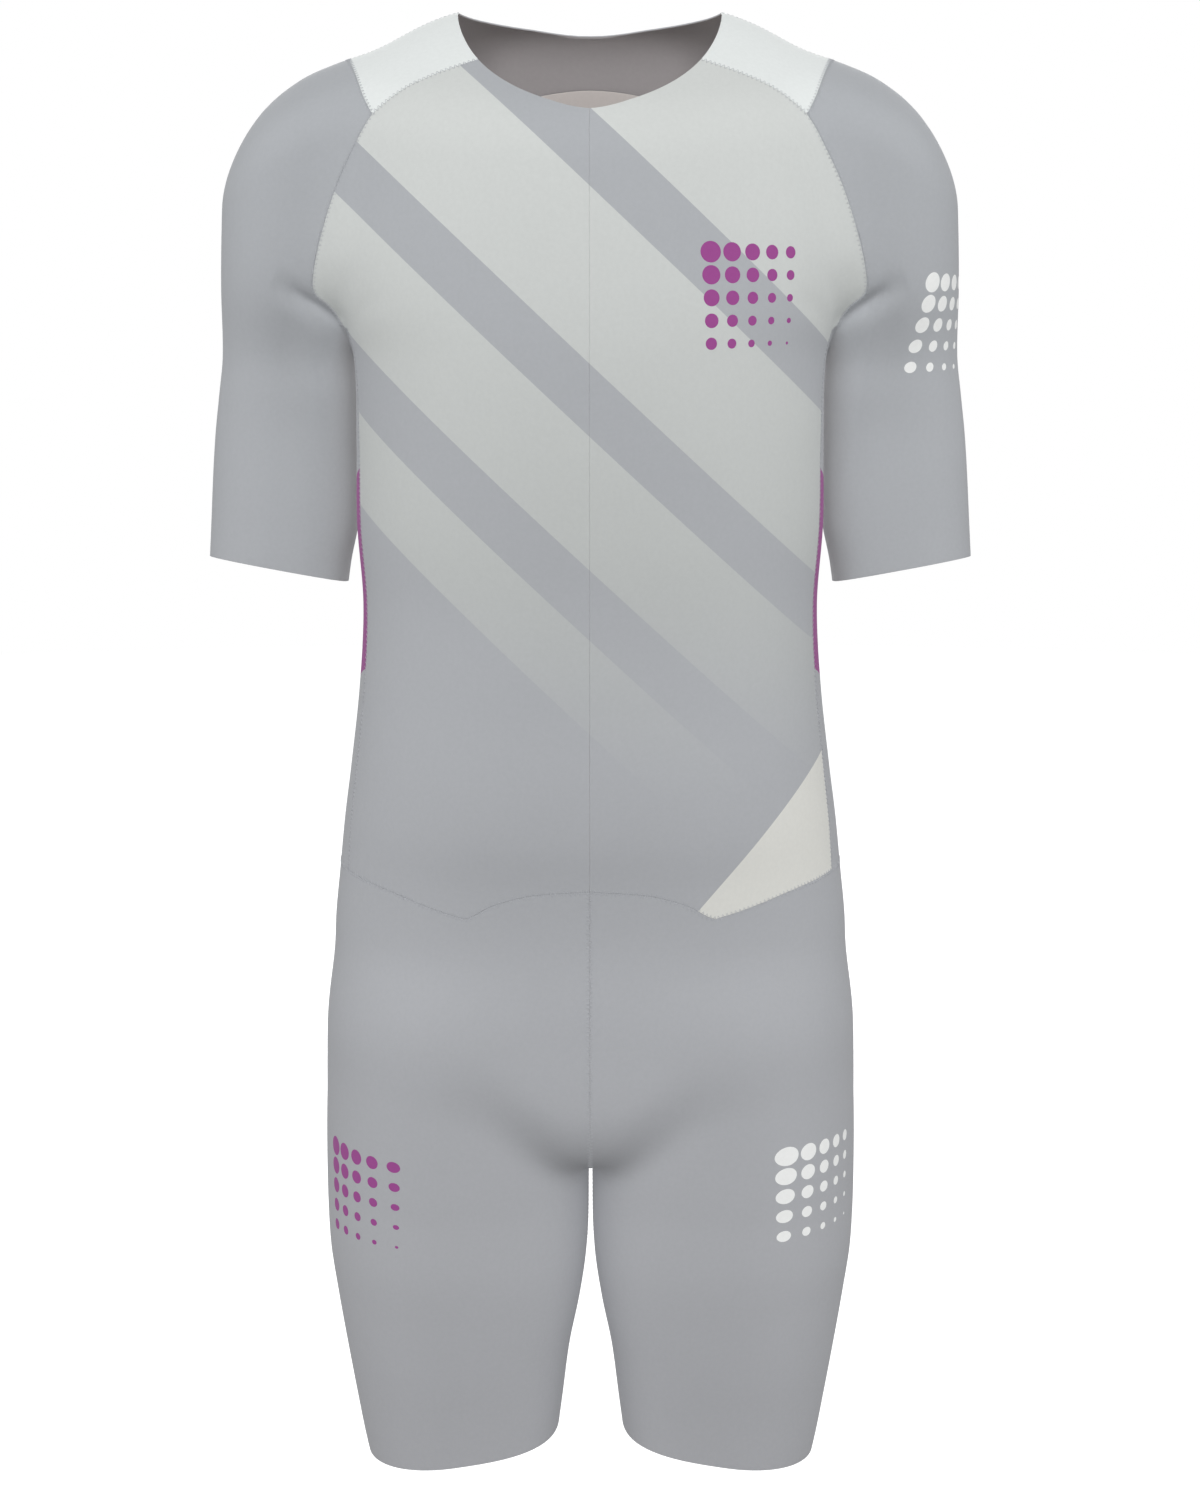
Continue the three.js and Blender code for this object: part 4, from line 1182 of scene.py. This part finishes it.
class SKINSUIT_OT_fronts(bpy.types.Operator):
    """Builds the two front panels, split down the middle by the zip"""

    bl_idname = "skinsuit.fronts"
    bl_label = "Front panels"

    def execute(self, context):
        s = seams()
        both_sides(
            "front",
            round_sheet(
                join(s["waist_inner"], s["waist_outer"]),
                join(s["neck_front"], s["shoulder"]),
                s["centre"],
                join(s["side_front"][::-1], s["arm_front"][::-1]),
                (0, RIDGE_Y), -math.pi / 2,
            ),
            "print_knit", ["shoulder_{side}", "side_{side}", "front_zip"], "knit_front",
        )
        return {"FINISHED"}


class SKINSUIT_OT_shoulders(bpy.types.Operator):
    """Builds the light shoulder panels between the neck and the sleeves"""

    bl_idname = "skinsuit.shoulders"
    bl_label = "Shoulder panels"

    def execute(self, context):
        s = seams()
        both_sides(
            "shoulder",
            panel_sheet(s["shoulder"], s["ridge"], s["neck_side"], s["arm_top"]),
            "shoulder_knit", ["back_yoke", "sleeve_{side}"], "knit_shoulder",
        )
        return {"FINISHED"}


class SKINSUIT_OT_sides(bpy.types.Operator):
    """Builds the narrow side panels under the arms"""

    bl_idname = "skinsuit.sides"
    bl_label = "Side panels"

    def execute(self, context):
        s = seams()
        both_sides(
            "side",
            round_sheet(
                s["side_waist"], s["underarm"], s["side_front"][::-1], s["side_back"][::-1],
                (0, RIDGE_Y),
            ),
            "side_knit", ["front_{side}", "back"], "knit_side",
        )
        # Their purple throws no tint on the sleeves.
        for side in ("left", "right"):
            bpy.data.objects[f"cloth_side_{side}"].visible_diffuse = False
        return {"FINISHED"}


class SKINSUIT_OT_back(bpy.types.Operator):
    """Builds the back panel and the yoke above it"""

    bl_idname = "skinsuit.back"
    bl_label = "Back and yoke"

    def execute(self, context):
        s = seams()
        left = join(s["side_back"][::-1], s["arm_back"])
        back = round_sheet(
            across(s["waist_back"]), across(s["yoke"]), left, mirrored(left), (0, RIDGE_Y)
        )
        add_cloth("back", back, "body_knit", ["back_yoke"], "knit_body")
        yoke = panel_sheet(
            across(s["yoke"]), across(join(s["ridge"][::-1], s["neck_back"])),
            s["yoke_arm"], mirrored(s["yoke_arm"]),
        )
        add_cloth(
            "back_yoke", yoke, "body_knit", ["shoulder_left", "shoulder_right"], "knit_body",
            inside="knit_reverse_yoke",
        )
        return {"FINISHED"}


class SKINSUIT_OT_sleeves(bpy.types.Operator):
    """Builds the two short sleeves"""

    bl_idname = "skinsuit.sleeves"
    bl_label = "Sleeves"

    def execute(self, context):
        s = seams()
        back_cells = CELLS["yoke_arm"] + CELLS["arm_back"] + CELLS["underarm"] // 2
        both_sides(
            "sleeve", sleeve_sheet(s["armhole"][:-1], back_cells, CELLS["sleeve"]), "body_knit",
            ["shoulder_{side}", "back_yoke"], "knit_sleeve", tube=True,
        )
        return {"FINISHED"}


class SKINSUIT_OT_legs(bpy.types.Operator):
    """Builds the two legs, each one panel wrapped round the thigh"""

    bl_idname = "skinsuit.legs"
    bl_label = "Legs"

    def execute(self, context):
        s = seams()
        both_sides(
            "leg",
            round_sheet(
                s["leg_hem"], s["leg_waist"], join(s["inseam"], s["rise_front"][::-1]),
                join(s["inseam"], s["rise_back"][::-1]), (LEG_HEM["x"], 0), math.pi,
            ),
            "body_knit", ["front_{side}", "back"], "knit_leg",
        )
        return {"FINISHED"}


class SKINSUIT_OT_zip(bpy.types.Operator):
    """Builds the concealed zip behind the front edges: a tape, and a coil on its inner face"""

    bl_idname = "skinsuit.zip"
    bl_label = "Concealed zip"

    def execute(self, context):
        sizes = context.scene.skinsuit_sizes
        low, high = ZIP_LOW, seams()["neck_front"][0, 2] - ZIP_TOP_INSET
        x = np.linspace(-0.5, 0.5, TAPE_CELLS + 1) * sizes.tape_width / MM
        sheet = facing(x[None, :], np.linspace(low, high, TAPE_ROWS)[:, None], -1)
        normals = unit(outward(sheet))
        depths = (TAPE_DEPTH, TAPE_DEPTH + TAPE_THICK)
        sides = [(sheet - normals * depth).reshape(-1, 3) for depth in depths]
        count = len(sides[0])
        index = np.arange(count).reshape(sheet.shape[:2])
        face, rim = grid_faces(index), grid_rim(index)
        quads = np.concatenate([face, face[:, ::-1] + count, quads_between(rim + count, rim)])
        tape = new_piece(
            "cloth_front_zip", np.concatenate(sides), quads, [material("zip_tape")],
            grid_lengths(sheet, False).reshape(-1, 2)[quads.ravel() % count],
        )
        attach(tape, "root")
        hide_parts("front_zip")
        coil = self.coil(sizes, low + COIL_END, high - COIL_END, depths[1])
        width, length = sheet_size(sheet, False)[:2]
        return {"FINISHED"}

    def coil(self, sizes, low, high, depth):
        """Two flattened helices side by side, one on each half of the tape, interlocked."""
        radius, pitch = sizes.tooth_radius / MM, sizes.tooth_pitch / MM
        turn = np.arange(0, (high - low) / pitch, 1 / COIL_STEPS)
        angle = 2 * math.pi * turn
        parts = []
        for side in (-1, 1):
            x = side * (COIL_MIDDLE + COIL_REACH * np.cos(angle))
            base = facing(x, low + (turn + 0.25 * side) * pitch, -1)
            normal = unit(outward(base))
            path = base - normal * (depth + radius + COIL_HEIGHT * (1 + np.sin(angle)))[:, None]
            way = unit(np.gradient(path, axis=0))
            beside_way = unit(np.cross(normal, way))
            parts.append(tube_along(path, beside_way, np.cross(way, beside_way), radius))
        finish = hard_material("zip_coil", bpy.context.scene.skinsuit_colours.zip_coil, 0.4)
        return add_hard_piece("zip_coil", parts, finish)


class SKINSUIT_OT_stitches(bpy.types.Operator):
    """Sews the seams with flatlock stitching"""

    bl_idname = "skinsuit.stitches"
    bl_label = "Flatlock stitching"

    def execute(self, context):
        s = seams()
        sizes = context.scene.skinsuit_sizes
        groups = {
            "shoulders": ([s["shoulder"], s["ridge"]], []),
            "armholes": ([s["armhole"]], []),
            "sides": ([s["side_front"], s["side_back"]], []),
            "waist": ([s["leg_waist"]], []),
            "inseams": ([s["inseam"]], []),
            "middle": ([], [across(s["yoke"]), s["rise_front"], s["rise_back"]]),
        }
        finish = hard_material("sewing_thread", context.scene.skinsuit_colours.thread, 0.55)
        for name, (paired, single) in groups.items():
            lines = paired + [mirrored(line)[::-1] for line in paired] + single
            parts = [
                flatlock(
                    line, sizes.stitch_pitch / MM, sizes.stitch_half_width / MM,
                    sizes.thread_radius / MM,
                )
                for line in lines
            ]
            add_hard_piece(f"stitching_{name}", parts, finish)
        return {"FINISHED"}


# Soft round lights, aimed at the middle of the suit: place, whose power, and if they cast shadows.
LAMPS = {
    "front": ((0.0, -4.2, 1.5), "front", True),
    "left": ((4.2, -0.8, 0.6), "sides", False),
    "right": ((-4.2, -0.8, 0.6), "sides", False),
    "back": ((0.0, 4.2, 1.5), "front", True),
}
LAMP_SIZE, LAMP_AIM = 3.0, (0, 0, -0.42)
CAMERA_PLACE, CAMERA_AIM = (0.006, -1.576, -0.165), (0.006, 0, -0.4433)
LENS, SENSOR = 61.75, 36
FLOOR_RADIUS, FLOOR_CORNERS = 8, 96


def place_aimed(name, data, place, aim):
    """Puts a light or a camera in the scene, turned to look at a place."""
    made = bpy.data.objects.new(name, data)
    made.location = place
    made.rotation_euler = (Vector(aim) - made.location).to_track_quat("-Z", "Y").to_euler()
    bpy.context.scene.collection.objects.link(made)
    return made


class SKINSUIT_OT_stage(bpy.types.Operator):
    """Sets the floor, the light and the camera"""

    bl_idname = "skinsuit.stage"
    bl_label = "Stage"

    def execute(self, context):
        scene = context.scene
        setting = scene.skinsuit_stage
        scene.view_settings.view_transform = "Standard"
        scene.view_settings.look = "None"

        angle = np.arange(FLOOR_CORNERS) * 2 * math.pi / FLOOR_CORNERS
        rim = points(
            FLOOR_RADIUS * np.cos(angle), FLOOR_RADIUS * np.sin(angle), -setting.floor_drop
        )
        mesh = bpy.data.meshes.new("floor")
        mesh.from_pydata(rim.tolist(), [], [list(range(FLOOR_CORNERS))])
        floor = bpy.data.objects.new("floor", mesh)
        scene.collection.objects.link(floor)
        finish = bpy.data.materials.new("pale_floor")
        finish.use_nodes = True
        tree = finish.node_tree
        shader = tree.nodes["Principled BSDF"]
        shader.inputs["Base Color"].default_value = (0.25, 0.25, 0.25, 1)
        shader.inputs["Roughness"].default_value = 0.9
        shader.inputs["Emission Color"].default_value = (1, 1, 1, 1)
        seen = tree.nodes.new("ShaderNodeLightPath").outputs["Is Camera Ray"]
        tree.links.new(seen, shader.inputs["Emission Strength"])
        mesh.materials.append(finish)

        world = bpy.data.worlds.new("studio")
        world.use_nodes = True
        scene.world = world
        tree = world.node_tree
        surround = tree.nodes["Background"]
        seen = tree.nodes.new("ShaderNodeLightPath").outputs["Is Camera Ray"]
        strength = spread_to(tree, seen, 0.0, 1.0, setting.surround, 1.0)
        surround.inputs["Color"].default_value = (1, 1, 1, 1)
        tree.links.new(strength, surround.inputs["Strength"])

        for name, (place, power, shadow) in LAMPS.items():
            lamp = bpy.data.lights.new(name, "AREA")
            lamp.shape, lamp.size, lamp.energy = "DISK", LAMP_SIZE, getattr(setting, power)
            lamp.use_shadow = shadow
            place_aimed(name, lamp, place, LAMP_AIM)
        lens = bpy.data.cameras.new("camera")
        lens.lens, lens.sensor_width, lens.sensor_fit = LENS, SENSOR, "AUTO"
        scene.camera = place_aimed("camera", lens, CAMERA_PLACE, CAMERA_AIM)
        return {"FINISHED"}


STEPS = [
    SKINSUIT_OT_stage, SKINSUIT_OT_fronts, SKINSUIT_OT_shoulders, SKINSUIT_OT_sides,
    SKINSUIT_OT_back, SKINSUIT_OT_sleeves, SKINSUIT_OT_legs, SKINSUIT_OT_zip,
    SKINSUIT_OT_stitches,
]


class SKINSUIT_PT_panel(bpy.types.Panel):
    """Sizes, colours and the steps that build the suit"""

    bl_idname = "SKINSUIT_PT_panel"
    bl_label = "Cycling skinsuit"
    bl_space_type = "VIEW_3D"
    bl_region_type = "UI"
    bl_category = "Skinsuit"

    def draw(self, context):
        scene = context.scene
        for group in (scene.skinsuit_sizes, scene.skinsuit_colours, scene.skinsuit_stage):
            box = self.layout.box()
            for name in group.__annotations__:
                box.prop(group, name)
        for step in STEPS:
            self.layout.operator(step.bl_idname)


GROUPS = {
    "skinsuit_sizes": SkinsuitSizes,
    "skinsuit_colours": SkinsuitColours,
    "skinsuit_stage": SkinsuitStage,
}


def register():
    for made in (*GROUPS.values(), *STEPS, SKINSUIT_PT_panel):
        bpy.utils.register_class(made)
    for name, group in GROUPS.items():
        setattr(bpy.types.Scene, name, bpy.props.PointerProperty(type=group))


def unregister():
    for name in GROUPS:
        delattr(bpy.types.Scene, name)
    for made in (SKINSUIT_PT_panel, *reversed(STEPS), *GROUPS.values()):
        bpy.utils.unregister_class(made)


def main():
    register()
    for step in STEPS:
        family, name = step.bl_idname.split(".")
        getattr(getattr(bpy.ops, family), name)()


if __name__ == "__main__":
    main()
